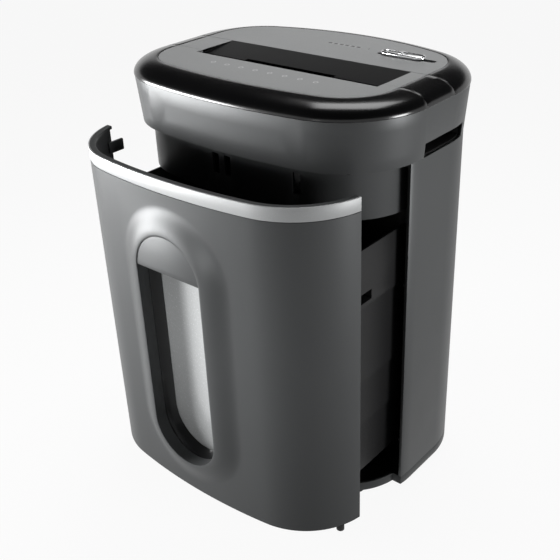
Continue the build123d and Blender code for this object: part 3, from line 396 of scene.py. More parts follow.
@dataclass(frozen=True)
class BareMetal:
    """Metal with fine drawn lines along one axis and a little tarnish."""

    name: str
    colour: Colour
    roughness: float
    lines: Point
    depth_mm: float

    def make(self) -> bpy.types.Material:
        """Builds the material.

        Returns:
            The finished material.
        """
        shade = Shade(self.name)
        drawn = shade.noise(0.5, 2.0, self.lines)
        tarnish = shade.noise(9.0, 4.0).above(0.62, 0.14)
        return shade.surface({
            "Base Color": shade.mixed(tarnish * 0.5, self.colour, scaled(self.colour, 0.62)),
            "Metallic": 1.0,
            "Roughness": drawn * 0.14 + (tarnish * 0.12 + (self.roughness - 0.07)),
            "Normal": shade.bump(drawn, self.depth_mm),
        })


@dataclass(frozen=True)
class SmokedPane:
    """A thin pale plastic pane with a bright film behind it and fine scuffs."""

    name: str
    colour: Colour
    roughness: float
    film: float

    def make(self) -> bpy.types.Material:
        """Builds the material.

        Returns:
            The finished material.
        """
        shade = Shade(self.name)
        haze = shade.noise(60.0, 3.0, (1.0, 1.0, 0.5))
        scuff = shade.noise(2.0, 2.0, (6.0, 1.0, 0.6)).above(0.68, 0.06)
        colour = shade.mixed(haze, scaled(self.colour, 0.85), scaled(self.colour, 1.12))
        return shade.surface({
            "Base Color": colour,
            "Roughness": scuff * 0.2 + self.roughness,
            "Metallic": self.film,
            "Coat Weight": 0.6,
            "Coat Roughness": 0.05,
            "Normal": shade.bump(haze, 0.2),
        })


@dataclass(frozen=True)
class CircuitLaminate:
    """A green circuit laminate with tracks and solder dots."""

    name: str
    colour: Colour

    def make(self) -> bpy.types.Material:
        """Builds the material.

        Returns:
            The finished material.
        """
        shade = Shade(self.name)
        edge = shade.node(
            "ShaderNodeTexVoronoi", {"feature": "DISTANCE_TO_EDGE"}, {"Vector": shade.place, "Scale": 160.0}
        )
        tracks = 1.0 - edge.above(0.06, 0.03)
        dots = 1.0 - shade.node(
            "ShaderNodeTexVoronoi", {"feature": "F1"}, {"Vector": shade.place, "Scale": 230.0}
        ).above(0.2, 0.05)
        traced = shade.mixed(tracks * 0.6, self.colour, scaled(self.colour, 2.2))
        return shade.surface({
            "Base Color": shade.mixed(dots, traced, (0.55, 0.56, 0.55)),
            "Metallic": dots * 0.9,
            "Roughness": 0.5 - dots * 0.2,
            "Normal": shade.bump(tracks + dots, 0.04),
        })


@dataclass(frozen=True)
class WoundIron:
    """An armature: stacked iron sheets in the middle and copper turns towards the ends."""

    name: str
    iron: Colour
    copper: Colour

    def make(self) -> bpy.types.Material:
        """Builds the material.

        Returns:
            The finished material.
        """
        shade = Shade(self.name)
        sheets = shade.noise(0.7, 0.0, (1.0, 0.02, 0.02))
        turns = shade.noise(14.0, 1.0).above(0.52, 0.06)
        return shade.surface({
            "Base Color": shade.mixed(turns, self.iron, self.copper),
            "Metallic": 0.9,
            "Roughness": sheets * 0.2 + 0.3,
            "Normal": shade.bump(sheets, 0.06),
        })


@dataclass(frozen=True)
class DarkLens:
    """A smoked strip with a row of pale windows that lamps shine through."""

    name: str
    colour: Colour
    glow: Colour
    pitch_mm: float = 7.0
    share: float = 0.35

    def make(self) -> bpy.types.Material:
        """Builds the material.

        Returns:
            The finished material.
        """
        shade = Shade(self.name)
        haze = shade.noise(6.0, 2.0)
        across = shade.node("ShaderNodeSeparateXYZ", None, {0: shade.place}, "X")
        half = self.pitch_mm * MM / 2
        dash = shade.math("PINGPONG", across, half).above(half * (1.0 - self.share), 0.1 * MM)
        smoke = shade.mixed(haze, self.colour, scaled(self.colour, 2.0))
        return shade.surface({
            "Base Color": shade.mixed(dash, smoke, self.glow),
            "Roughness": haze * 0.1 + 0.15,
        })


Finish = Union[
    FleckedPaint, GlossMoulding, MattMoulding, BareMetal, SmokedPane, CircuitLaminate, WoundIron, DarkLens
]
CASING = FleckedPaint("casing_paint", (0.056, 0.058, 0.059), 0.43, 0.3, 0.12, 0.12)
BAND = FleckedPaint("band_paint", (0.29, 0.296, 0.298), 0.5, 0.2, 0.1, 0.3)
DECK = FleckedPaint("deck_paint", (0.36, 0.366, 0.368), 0.42, 0.15, 0.12, 0.35)
MARKED_DECK = MarkedPaint("marked_deck_paint", (0.36, 0.366, 0.368), 0.42, 0.15, 0.12, 0.35)
INNER = MattMoulding("inner_moulding", (0.007, 0.007, 0.0073), 0.5, 0.9, 0.03, 0.15)
GLOSS = GlossMoulding("gloss_black", (0.002, 0.002, 0.0022), 0.2, 0.35)
THROAT = GlossMoulding("throat_black", (0.003, 0.003, 0.0033), 0.3, 0.08)
TUB = GlossMoulding("tub_black", (0.006, 0.006, 0.0065), 0.12, 0.4)
RUBBER = MattMoulding("foot_rubber", (0.012, 0.012, 0.012), 0.8, 1.4, 0.08)
GROMMET = MattMoulding("grommet_rubber", (0.014, 0.014, 0.014), 0.62, 0.8, 0.04)
ZINC = BareMetal("zinc_plate", (0.6, 0.61, 0.6), 0.32, (1.0, 1.0, 1.0), 0.01)
BLACKED = BareMetal("blacked_steel", (0.03, 0.03, 0.031), 0.45, (1.0, 1.0, 1.0), 0.01)
CUTTER = BareMetal("cutter_steel", (0.3, 0.3, 0.31), 0.3, (0.05, 1.0, 1.0), 0.02)
PLATE = BareMetal("plate_steel", (0.52, 0.53, 0.54), 0.36, (1.0, 0.06, 1.0), 0.015)
BRASS = BareMetal("bush_brass", (0.58, 0.4, 0.16), 0.3, (0.1, 1.0, 1.0), 0.01)
CHROME = BareMetal("knob_chrome", (0.83, 0.84, 0.85), 0.12, (0.2, 1.0, 1.0), 0.002)
WHITE = MattMoulding("nylon_white", (0.6, 0.59, 0.55), 0.45, 1.2, 0.02)
SLEEVE = MattMoulding("capacitor_sleeve", (0.02, 0.03, 0.07), 0.3, 2.5, 0.01)
PANE = SmokedPane("window_pane", (0.38, 0.39, 0.392), 0.25, 0.2)
CIRCUIT = CircuitLaminate("circuit_laminate", (0.015, 0.075, 0.03))
ARMATURE = WoundIron("armature_windings", (0.16, 0.16, 0.165), (0.5, 0.2, 0.07))
LENS = DarkLens("lens_smoke", (0.012, 0.012, 0.013), (0.5, 0.51, 0.5))
LAMP = DarkLens("lamp_cap", (0.5, 0.51, 0.5), (0.72, 0.73, 0.71))

SLOT_FINISHES: dict[str, Finish] = {
    "casing": CASING,
    "inner_casing": INNER,
    "rubber_foot": RUBBER,
    "grommet": GROMMET,
    "zinc_screw": ZINC,
    "gloss_rim": GLOSS,
    "deck": DECK,
    "lens": LENS,
    "circuit_board": CIRCUIT,
    "lamp": LAMP,
    "chrome_knob": CHROME,
    "cutter_steel": CUTTER,
    "white_plastic": WHITE,
    "plate_steel": PLATE,
    "bush_brass": BRASS,
    "armature_iron": ARMATURE,
    "capacitor_sleeve": SLEEVE,
    "band": BAND,
    "pane": PANE,
}
NODE_FINISHES: dict[str, Finish] = {
    "window_tub": TUB,
    "front_deck_plate": MARKED_DECK,
    "throat_insert": THROAT,
    "head_base": CASING,
    "head_screws": BLACKED,
}


class Paintbox:
    """Makes each finish once and puts it on objects."""

    def __init__(self) -> None:
        """Starts with no material made."""
        self.made: dict[str, bpy.types.Material] = {}

    def put(self, obj: bpy.types.Object, finish: Finish) -> None:
        """Gives an object one finish all over.

        Args:
            obj: The object to paint.
            finish: The finish to use.
        """
        if finish.name not in self.made:
            self.made[finish.name] = finish.make()
        obj.data.materials.clear()
        obj.data.materials.append(self.made[finish.name])

    def paint_nodes(self, record: dict, nodes: dict) -> None:
        """Paints every solid by its slot in the record.

        Args:
            record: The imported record.
            nodes: The solids by name.
        """
        for part in record["subparts"]:
            name = part["node"]
            finish = NODE_FINISHES.get(name, SLOT_FINISHES[part["material_slot"]])
            self.put(nodes[name], finish)


class Bench:
    """Edit-mode work that the modelled pieces share; places are in mm."""

    @staticmethod
    def clear() -> None:
        """Leaves nothing selected."""
        bpy.ops.object.select_all(action="DESELECT")

    @staticmethod
    def hold(obj: bpy.types.Object) -> None:
        """Selects one object alone and makes it active.

        Args:
            obj: The object.
        """
        Bench.clear()
        obj.select_set(True)
        bpy.context.view_layer.objects.active = obj

    @staticmethod
    def loft(name: str, rings: Sequence[Sequence[Point]]) -> bpy.types.Object:
        """Adds a circle, lays it on the first ring and extrudes it from ring to ring.

        Args:
            name: The new object's name.
            rings: Closed loops with the same number of points.

        Returns:
            The open tube.
        """
        Bench.clear()
        bpy.ops.mesh.primitive_circle_add(vertices=len(rings[0]), radius=0.1)
        obj = bpy.context.object
        obj.name = name
        for vertex, point in zip(obj.data.vertices, rings[0]):
            vertex.co = Vector(point) * MM
        bpy.ops.object.mode_set(mode="EDIT")
        bpy.ops.mesh.select_mode(type="EDGE")
        bpy.ops.mesh.select_all(action="SELECT")
        mesh = bmesh.from_edit_mesh(obj.data)
        order = mesh.verts.layers.int.new("order")
        for vertex in mesh.verts:
            vertex[order] = vertex.index
        for ring in rings[1:]:
            bpy.ops.mesh.extrude_edges_indiv()
            mesh = bmesh.from_edit_mesh(obj.data)
            order = mesh.verts.layers.int["order"]
            for vertex in mesh.verts:
                if vertex.select:
                    vertex.co = Vector(ring[vertex[order]]) * MM
        mesh.verts.layers.int.remove(order)
        bmesh.update_edit_mesh(obj.data)
        bpy.ops.object.mode_set(mode="OBJECT")
        return obj

    @staticmethod
    def close(obj: bpy.types.Object) -> None:
        """Merges doubles, fills what is open and turns all faces outwards.

        Args:
            obj: The piece.
        """
        Bench.hold(obj)
        bpy.ops.object.mode_set(mode="EDIT")
        bpy.ops.mesh.select_all(action="SELECT")
        bpy.ops.mesh.remove_doubles(threshold=MERGE)
        bpy.ops.mesh.fill_holes(sides=0)
        bpy.ops.mesh.select_all(action="SELECT")
        bpy.ops.mesh.normals_make_consistent(inside=False)
        bpy.ops.object.mode_set(mode="OBJECT")

    @staticmethod
    def join(first: bpy.types.Object, *others: bpy.types.Object) -> None:
        """Joins objects into the first.

        Args:
            first: The object that stays.
            others: The objects that go into it.
        """
        Bench.hold(first)
        for other in others:
            other.select_set(True)
        bpy.ops.object.join()

    @staticmethod
    def slab(name: str, low: Point, high: Point, round_mm: float) -> bpy.types.Object:
        """Adds a cube between two corners and bevels its edges.

        Args:
            name: The new object's name.
            low: The lowest corner.
            high: The highest corner.
            round_mm: The radius of the edges.

        Returns:
            The rounded block.
        """
        Bench.clear()
        middle = [(a + b) / 2 * MM for a, b in zip(low, high)]
        bpy.ops.mesh.primitive_cube_add(size=1.0, location=middle)
        obj = bpy.context.object
        obj.name = name
        obj.scale = [(b - a) * MM for a, b in zip(low, high)]
        bpy.ops.object.transform_apply(location=True, rotation=True, scale=True)
        bpy.ops.object.mode_set(mode="EDIT")
        bpy.ops.mesh.select_all(action="SELECT")
        bpy.ops.mesh.bevel(offset=round_mm * MM, segments=3)
        bpy.ops.object.mode_set(mode="OBJECT")
        return obj

    @staticmethod
    def band_of(
        obj: bpy.types.Object, name: str, y0: Optional[float], y1: Optional[float]
    ) -> bpy.types.Object:
        """A copy of a piece, cut off in front of one plane and behind another.

        Args:
            obj: The piece to copy.
            name: The copy's name.
            y0: The front plane, if it is cut there.
            y1: The back plane, if it is cut there.

        Returns:
            The closed copy.
        """
        copy = bpy.data.objects.new(name, obj.data.copy())
        bpy.context.scene.collection.objects.link(copy)
        Bench.hold(copy)
        bpy.ops.object.mode_set(mode="EDIT")
        for level, front in ((y0, True), (y1, False)):
            if level is None:
                continue
            bpy.ops.mesh.select_all(action="SELECT")
            bpy.ops.mesh.bisect(
                plane_co=(0.0, level * MM, 0.0),
                plane_no=(0.0, 1.0, 0.0),
                use_fill=True,
                clear_inner=front,
                clear_outer=not front,
            )
        bpy.ops.object.mode_set(mode="OBJECT")
        return copy

    @staticmethod
    def cut(obj: bpy.types.Object, cutter: bpy.types.Object) -> None:
        """Takes a block out of a piece with an applied boolean and drops the block.

        Args:
            obj: The piece.
            cutter: The block to take out.
        """
        Bench.hold(obj)
        difference = obj.modifiers.new("cut", "BOOLEAN")
        difference.operation = "DIFFERENCE"
        difference.object = cutter
        bpy.ops.object.modifier_apply(modifier=difference.name)
        bpy.data.objects.remove(cutter)

    @staticmethod
    def rounded(obj: bpy.types.Object, width_mm: float, segments: int = 2) -> None:
        """Rounds a piece's sharp edges with an applied bevel and smooths what is left.

        Args:
            obj: The piece.
            width_mm: The bevel's width.
            segments: Its number of steps.
        """
        Bench.hold(obj)
        bevel = obj.modifiers.new("edges", "BEVEL")
        bevel.width = width_mm * MM
        bevel.segments = segments
        bevel.limit_method = "ANGLE"
        bevel.angle_limit = SHARP
        bpy.ops.object.modifier_apply(modifier=bevel.name)
        Bench.smooth(obj)

    @staticmethod
    def flatten(obj: bpy.types.Object) -> None:
        """Turns a piece's normals towards its large flat faces, so that they shade flat.

        Args:
            obj: The piece.
        """
        Bench.hold(obj)
        weighted = obj.modifiers.new("normals", "WEIGHTED_NORMAL")
        weighted.keep_sharp = True
        bpy.ops.object.modifier_apply(modifier=weighted.name)

    @staticmethod
    def smooth(obj: bpy.types.Object) -> None:
        """Shades a piece smooth up to the sharp angle."""
        Bench.hold(obj)
        bpy.ops.object.shade_smooth_by_angle(angle=SHARP)


@dataclass(frozen=True)
class Outline:
    """A plan with straight sides, a bowed front and back, and round corners, in mm."""

    half_width: float
    front: float
    back: float
    corner: float
    front_bow: float
    back_bow: float

    def between(self, other: "Outline", share: float, inset: float) -> "Outline":
        """The plan part of the way to another, drawn in by an inset.

        Args:
            other: The plan at share 1.
            share: How far the way goes.
            inset: How far the plan is then drawn in.

        Returns:
            The plan between.
        """
        sizes = zip(dataclasses.astuple(self), dataclasses.astuple(other), (-1, 1, -1, -1, -1, -1))
        return Outline(*(a + share * (b - a) + sign * inset for a, b, sign in sizes))

    def turn(self, bow: float) -> float:
        """The angle at which a bow runs into its corners."""
        return math.asin((self.half_width - self.corner) / (bow - self.corner))

    def centre_y(self, bow: float, end: float, side: int) -> float:
        """Where the corners' centres lie along Y."""
        return end + side * (bow - (bow - self.corner) * math.cos(self.turn(bow)))

    def loop(self) -> list[tuple[float, float]]:
        """The plan's points, round from the middle of the front.

        Returns:
            Pairs of X and Y.
        """
        half = self._half(self.front_bow, self.front, 1)
        rear = self._half(self.back_bow, self.back, -1)
        side = [half[-1][1] + (rear[-1][1] - half[-1][1]) * k / SIDE_STEPS for k in range(1, SIDE_STEPS)]
        right = half + [(self.half_width, y) for y in side] + rear[::-1]
        return right + [(-x, y) for x, y in right[-2:0:-1]]

    def _half(self, bow: float, end: float, side: int) -> list[tuple[float, float]]:
        """One end's right half, from its middle to the straight side.

        Args:
            bow: The end's bow radius.
            end: Where the end's middle lies along Y.
            side: 1 at the front and -1 at the back.

        Returns:
            The points.
        """
        stop = self.turn(bow)
        points = []
        for k in range(BOW_STEPS):
            angle = stop * k / BOW_STEPS
            points.append((bow * math.sin(angle), end + side * (bow - bow * math.cos(angle))))
        run, level = self.half_width - self.corner, self.centre_y(bow, end, side)
        for k in range(CORNER_STEPS + 1):
            angle = stop + (math.pi / 2 - stop) * k / CORNER_STEPS
            points.append((run + self.corner * math.sin(angle), level - side * self.corner * math.cos(angle)))
        return points


CABINET = Outline(160.5, -115.0, 115.0, 81.0, 640.0, 340.0)


@dataclass
class RoundedSolids:
    """Solids whose edges only need the rounding that moulds leave."""

    paints: Paintbox
    shell_nodes: tuple[tuple[str, float], ...] = (
        ("front_deck_plate", 0.35),
        ("side_deck_plates", 0.35),
        ("rear_deck_plate", 0.35),
        ("throat_insert", 0.5),
        ("head_shell", 0.8),
        ("head_base", 0.8),
        ("cabinet_shell", 0.8),
        ("cabinet_base", 1.0),
        ("handhold_liners", 0.6),
        ("rubber_feet", 0.8),
    )
    drawer_nodes: tuple[tuple[str, float], ...] = (
        ("grip_plate", 0.7),
        ("window_tub", 0.6),
        ("waste_bin", 1.0),
        ("bin_carrier", 0.6),
        ("drawer_glides", 0.8),
    )
    flat_nodes: tuple[str, ...] = ("front_deck_plate", "side_deck_plates", "rear_deck_plate", "throat_insert")
    track_node: str = "rear_deck_plate"
    track: tuple[Point, Point] = ((56.0, 51.0, 424.0), (121.0, 58.0, 434.5))
    track_round: float = 3.4

    def build(self) -> None:
        """Rounds each solid and lets the copy stand for it."""
        slots = {part["node"]: part["material_slot"] for part in frame["record"]["subparts"]}
        for body, group in ((Body.SHREDDER, self.shell_nodes), (Body.DRAWER, self.drawer_nodes)):
            for node, width in group:
                copy = self._copy(node)
                if node == self.track_node:
                    Bench.cut(copy, Bench.slab("knob_track", *self.track, self.track_round))
                Bench.rounded(copy, width)
                if node in self.flat_nodes:
                    Bench.flatten(copy)
                self.paints.put(copy, NODE_FINISHES.get(node, SLOT_FINISHES[slots[node]]))
                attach(copy, body.value)
                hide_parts(node)
                LOG.info("rounded %s", node)

    @staticmethod
    def _copy(node: str) -> bpy.types.Object:
        """A merged copy of a solid with its flat faces whole.

        Args:
            node: The solid's name.

        Returns:
            The copy.
        """
        copy = bpy.data.objects.new("rounded_" + node, frame["nodes"][node].data.copy())
        bpy.context.scene.collection.objects.link(copy)
        Bench.hold(copy)
        bpy.ops.object.mode_set(mode="EDIT")
        bpy.ops.mesh.select_all(action="SELECT")
        bpy.ops.mesh.remove_doubles(threshold=MERGE)
        bpy.ops.mesh.dissolve_limited(angle_limit=FLAT)
        bpy.ops.object.mode_set(mode="OBJECT")
        return copy


@dataclass
class TopRim:
    """The polished rim round the deck, cut by two seams into front, sides and rear."""

    paints: Paintbox
    deck: Outline = Outline(135.8, -92.8, 100.8, 50.0, 600.0, 320.0)
    outer: Outline = Outline(165.0, -119.5, 119.5, 85.5, 644.5, 344.5)
    bottom: float = 416.8
    top: float = 430.7
    lip: float = 0.6
    wall: float = 3.0
    ledge: float = 9.0
    deck_plate: float = 3.0
    steps: int = 14
    front_seam: float = -29.0
    back_seam: float = 15.6
    seam: float = 0.4
    seam_share: float = 0.35
    ease: float = 0.2
    haunch: float = 0.7
    chute_left: float = -101.0
    chute_right: float = 119.0
    chute_back: float = -37.6
    chute_wall: float = 2.0
    chute_round: float = 0.4

    def build(self) -> None:
        """Builds the whole ring and cuts it."""
        ring = Bench.loft("rim_blank", [self._ring(*spot) for spot in self._profile()])
        Bench.close(ring)
        half = self.seam / 2
        front = Bench.band_of(ring, "front_rim", None, self.front_seam - half)
        Bench.join(front, self._chute())
        sides = Bench.band_of(ring, "side_rims", self.front_seam + half, self.back_seam - half)
        rear = Bench.band_of(ring, "rear_rim", self.back_seam + half, None)
        bpy.data.objects.remove(ring)
        for piece, node in ((front, "front_cover"), (sides, "side_covers"), (rear, "rear_cover")):
            Bench.rounded(piece, self.seam * self.seam_share)
            self.paints.put(piece, GLOSS)
            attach(piece, Body.SHREDDER.value)
            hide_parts(node)
            LOG.info("modelled %s", piece.name)

    def _profile(self) -> list[tuple[float, float, float]]:
        """The rim's section as shares of the way out, insets and levels.

        Returns:
            The section's spots, in order.
        """
        low = self.bottom + self.lip
        spots = [(0.0, -self.seam, self.top - self.lip)]
        for k in range(self.steps + 1):
            angle = math.pi / 2 * k / self.steps
            share = math.sin(angle)
            spots.append((share, self.seam * (share - 1.0), low + (self.top - low) * math.cos(angle)))
        spots += [(1.0, self.ease, self.bottom + self.ease), (1.0, self.lip, self.bottom)]
        under = self.top - self.deck_plate
        spots += [(1.0, self.wall, self.bottom), (1.0, self.wall, self.bottom + self.wall)]
        spots += [(self.haunch, 0.0, under - self.wall), (0.0, self.ledge, under - self.wall)]
        spots += [(0.0, self.ledge, under), (0.0, 0.0, under), spots[0]]
        return spots

    def _ring(self, share: float, inset: float, level: float) -> list[Point]:
        """One loop of the rim.

        Args:
            share: How far out it lies, from the deck's edge to the outer edge.
            inset: How far it is drawn in.
            level: Its height.

        Returns:
            The loop's points.
        """
        return [(x, y, level) for x, y in self.deck.between(self.outer, share, inset).loop()]

    def _chute(self) -> bpy.types.Object:
        """The front wall of the paper chute, which hangs from the front rim.

        Returns:
            The wall.
        """
        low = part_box("front_cover")[0][2] / MM
        return Bench.slab(
            "chute_wall",
            (self.chute_left, self.chute_back - self.chute_wall, low),
            (self.chute_right, self.chute_back, self.top - self.deck_plate),
            self.chute_round,
        )


@dataclass(frozen=True)
class Station:
    """A place along the drawer panel's plan with its outward direction."""

    x: float
    y: float
    angle: float

    def at(self, inset: float, level: float) -> Point:
        """A point behind this place.

        Args:
            inset: How far behind the face it lies.
            level: Its height.

        Returns:
            The point.
        """
        return (self.x - inset * math.sin(self.angle), self.y + inset * math.cos(self.angle), level)


@dataclass
class DrawerPanel:
    """The wrapping drawer front with the swelling round its window, its band and its interlock tab."""

    paints: Paintbox
    out: float = 73.0
    edge: float = -43.4
    overrun: float = 1.6
    bottom: float = 16.7
    top: float = 365.6
    wall: float = 3.5
    top_lip: float = 7.0
    bottom_lip: float = 8.0
    lip: float = 3.0
    band_height: float = 12.85
    band_depth: float = 1.45
    band_gap: float = 0.05
    band_clear: float = 0.1
    band_proud: float = 0.05
    band_soft: tuple[float, float] = (0.5, 0.15)
    foot_ease: float = 0.7
    seat_ease: tuple[float, float] = (0.35, 0.4)
    lip_ease: float = 0.5
    window_x: float = -1.5
    window_half: float = 40.6
    window_low: float = 57.6
    window_high: float = 313.3
    swell_width: float = 28.0
    swell_rise: float = 6.95
    swell_rings: int = 14
    frame_depth: float = 6.0
    frame_soft: tuple[float, float] = (0.6, 0.15)
    facing: float = 0.9
    patch_half: float = 70.5
    patch_low: float = 27.0
    patch_high: float = 345.0
    shelf_low: float = 43.0
    shelf_depth: float = 12.0
    shelf_sink: float = 0.5
    tab_level: float = 343.0
    tab_height: float = 12.0
    tab_length: float = 13.0
    tab_thickness: float = 3.2
    tab_inset: float = 5.2
    tab_round: float = 1.0
    left_steps: int = 3
    right_steps: int = 8
    side_steps: int = 24
    arc_steps: int = 8

    def build(self) -> None:
        """Builds the panel and its band."""
        stations = self._stations()
        panel = self._swept("drawer_panel", [self._section(spot) for spot in stations])
        self._open_window(panel)
        patch = Bench.loft("window_surround", self._window_rings(stations))
        Bench.join(panel, patch)
        Bench.close(panel)
        Bench.join(panel, self._shelf(stations), self._tab())
        self._dress(panel, "drawer_front", CASING)
        band = self._swept("top_band", [self._band_section(spot) for spot in stations])
        self._dress(band, "silver_band", BAND)

    def _swept(self, name: str, sections: list[list[Point]]) -> bpy.types.Object:
        """A closed sweep along the plan, cut square at its two ends.

        Args:
            name: The new object's name.
            sections: The section at each station.

        Returns:
            The swept piece.
        """
        blank = Bench.loft(name + "_blank", sections)
        Bench.close(blank)
        piece = Bench.band_of(blank, name, None, self.edge - self.out)
        bpy.data.objects.remove(blank)
        return piece

    def _dress(self, piece: bpy.types.Object, node: str, finish: FleckedPaint) -> None:
        """Smooths a piece, paints it and lets it stand for its solid.

        Args:
            piece: The piece.
            node: The solid's name.
            finish: The paint.
        """
        Bench.smooth(piece)
        self.paints.put(piece, finish)
        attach(piece, Body.DRAWER.value)
        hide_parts(node)
        LOG.info("modelled %s", piece.name)

    def _stations(self) -> list[Station]:
        """Places along the plan from the left end to the right, with the window's columns among them.

        Returns:
            The places, in order.
        """
        bow, stop = CABINET.front_bow, CABINET.turn(CABINET.front_bow)
        run, level = CABINET.half_width - CABINET.corner, CABINET.centre_y(bow, CABINET.front, 1)
        end = math.pi / 2 - math.asin((level - self.edge - self.overrun) / CABINET.corner)
        corner = [stop + (end - stop) * k / CORNER_STEPS for k in range(1, CORNER_STEPS + 1)]
        reach = bow * math.sin(stop)
        steps = self.arc_steps
        columns = [self.window_x + self.patch_half * k / steps for k in range(-steps, steps + 1)]
        left = [-reach + (columns[0] + reach) * k / self.left_steps for k in range(self.left_steps)]
        rest, count = reach - columns[-1], self.right_steps
        right = [columns[-1] + rest * k / count for k in range(1, count + 1)]
        front = [Station(x, self._bow(x), math.asin(x / bow)) for x in left + columns + right]
        turns = []
        for angle in corner:
            x, y = run + CABINET.corner * math.sin(angle), level - CABINET.corner * math.cos(angle)
            turns.append(Station(x, y - self.out, angle))
        mirrored = [Station(-spot.x, spot.y, -spot.angle) for spot in reversed(turns)]
        return mirrored + front + turns

    def _bow(self, x: float) -> float:
        """Where the bowed front lies along Y."""
        bow = CABINET.front_bow
        return CABINET.front - self.out + bow - math.sqrt(bow * bow - x * x)

    def _levels(self) -> list[float]:
        """The heights of the window surround's side points.

        Returns:
            The heights, from low to high.
        """
        low, high = self.window_low + self.window_half, self.window_high - self.window_half
        below = [self.patch_low + (low - self.patch_low) * k / self.arc_steps for k in range(self.arc_steps)]
        beside = [low + (high - low) * k / self.side_steps for k in range(self.side_steps)]
        above = [high + (self.patch_high - high) * k / self.arc_steps for k in range(self.arc_steps + 1)]
        return below + beside + above

    def _section(self, spot: Station) -> list[Point]:
        """The panel's section at one place: face, band seat, top lip, inner wall and bottom lip.

        Args:
            spot: The place along the plan.

        Returns:
            The section's points.
        """
        seat = self.top - self.band_height
        levels = self._levels()
        behind = self.band_depth + self.band_gap
        step, drop = self.seat_ease
        face = [(self.foot_ease, self.bottom), (0.0, self.bottom + self.foot_ease)]
        face += [(0.0, z) for z in levels]
        face += [(0.0, seat - drop), (step, seat), (behind, seat), (behind, self.top)]
        lip = [(self.top_lip - self.lip_ease, self.top), (self.top_lip, self.top - self.lip_ease)]
        lip.append((self.top_lip, self.top - self.lip))
        inner = [(self.wall, self.top - self.lip)] + [(self.wall, z) for z in reversed(levels)]
        foot = [(self.wall, self.bottom + self.lip), (self.bottom_lip, self.bottom + self.lip)]
        foot.append((self.bottom_lip, self.bottom))
        return [spot.at(*pair) for pair in face + lip + inner + foot]

    def _band_section(self, spot: Station) -> list[Point]:
        """The band's section at one place, with eased edges.

        Args:
            spot: The place along the plan.

        Returns:
            The section's points.
        """
        low, high = self.top - self.band_height + self.band_clear, self.top + self.band_proud
        soft, near = self.band_soft
        edge = [(soft, low), (near, low + near), (0.0, low + soft), (0.0, high - soft), (near, high - near)]
        edge += [(soft, high), (self.band_depth, high), (self.band_depth, low)]
        return [spot.at(*pair) for pair in edge]

    def _open_window(self, panel: bpy.types.Object) -> None:
        """Deletes the panel's plain faces where the window surround goes.

        Args:
            panel: The swept panel.
        """
        Bench.hold(panel)
        bpy.ops.object.mode_set(mode="EDIT")
        bpy.ops.mesh.select_mode(type="FACE")
        bpy.ops.mesh.select_all(action="DESELECT")
        mesh = bmesh.from_edit_mesh(panel.data)
        for face in mesh.faces:
            spot = face.calc_center_median() / MM
            across = abs(spot.x - self.window_x) < self.patch_half
            beside = self.patch_low < spot.z < self.patch_high
            face.select = across and beside and abs(face.normal.y) > self.facing
        bmesh.update_edit_mesh(panel.data)
        bpy.ops.mesh.delete(type="FACE")
        bpy.ops.object.mode_set(mode="OBJECT")

    def _pill(self, grow: float) -> list[tuple[float, float]]:
        """The window's outline, grown by an amount, as pairs across and up.

        Args:
            grow: The distance from the window.

        Returns:
            The outline's pairs.
        """
        reach = self.window_half + grow
        low, high = self.window_low + self.window_half, self.window_high - self.window_half
        rise = (high - low) / self.side_steps
        points = [(self.window_x + reach, low + rise * k) for k in range(self.side_steps)]
        for k in range(4 * self.arc_steps):
            angle = math.pi * k / (4 * self.arc_steps)
            points.append((self.window_x + reach * math.cos(angle), high + reach * math.sin(angle)))
        points += [(2 * self.window_x - x, high + low - z) for x, z in points]
        return points

    def _swell(self, grow: float) -> list[Point]:
        """One ring of the swelling round the window, which rises to a flat edge.

        Args:
            grow: The ring's distance from the window.

        Returns:
            The ring's points.
        """
        share = max(1.0 - grow / self.swell_width, 0.0)
        share = share * share * (3.0 - 2.0 * share)
        flat = CABINET.front - self.out - self.swell_rise
        return [(x, self._bow(x) + (flat - self._bow(x)) * share, z) for x, z in self._pill(grow)]

    def _frame_rim(self, stations: list[Station], inset: float) -> list[Point]:
        """The square outer ring of the window surround, on the panel's own points.

        Args:
            stations: The places along the plan.
            inset: 0 on the face and the wall's thickness inside.

        Returns:
            The ring, in step with the window's outline.
        """
        levels = self._levels()
        first = CORNER_STEPS + self.left_steps
        columns = stations[first:first + 2 * self.arc_steps + 1]
        right = [columns[-1].at(inset, z) for z in levels]
        across = [spot.at(inset, levels[-1]) for spot in reversed(columns)]
        left = [columns[0].at(inset, z) for z in reversed(levels)]
        back = [spot.at(inset, levels[0]) for spot in columns]
        loop = right[:-1] + across[:-1] + left[:-1] + back[:-1]
        return loop[self.arc_steps:] + loop[:self.arc_steps]

    def _window_rings(self, stations: list[Station]) -> list[list[Point]]:
        """The rings from the panel's face over the swelling and the window's edge to the inner wall.

        Args:
            stations: The places along the plan.

        Returns:
            The rings, in order.
        """
        outer, inner = self._frame_rim(stations, 0.0), self._frame_rim(stations, self.wall)
        back = CABINET.front - self.out + self.frame_depth
        grows = [self.swell_width * (1.0 - k / self.swell_rings) for k in range(self.swell_rings)]
        rings = [outer] + [self._swell(grow) for grow in grows]
        far, near = self.frame_soft
        rings += [self._swell(far), [(x, y + near, z) for x, y, z in self._swell(near)]]
        rings.append([(x, y + far, z) for x, y, z in self._swell(0.0)])
        rings.append([(x, back, z) for x, z in self._pill(0.0)])
        rings.append([(x, back, z) for x, z in self._pill(self.swell_width)])
        rings.append([(x, self._bow(x) + self.wall, z) for x, z in self._pill(self.swell_width)])
        return rings + [inner]

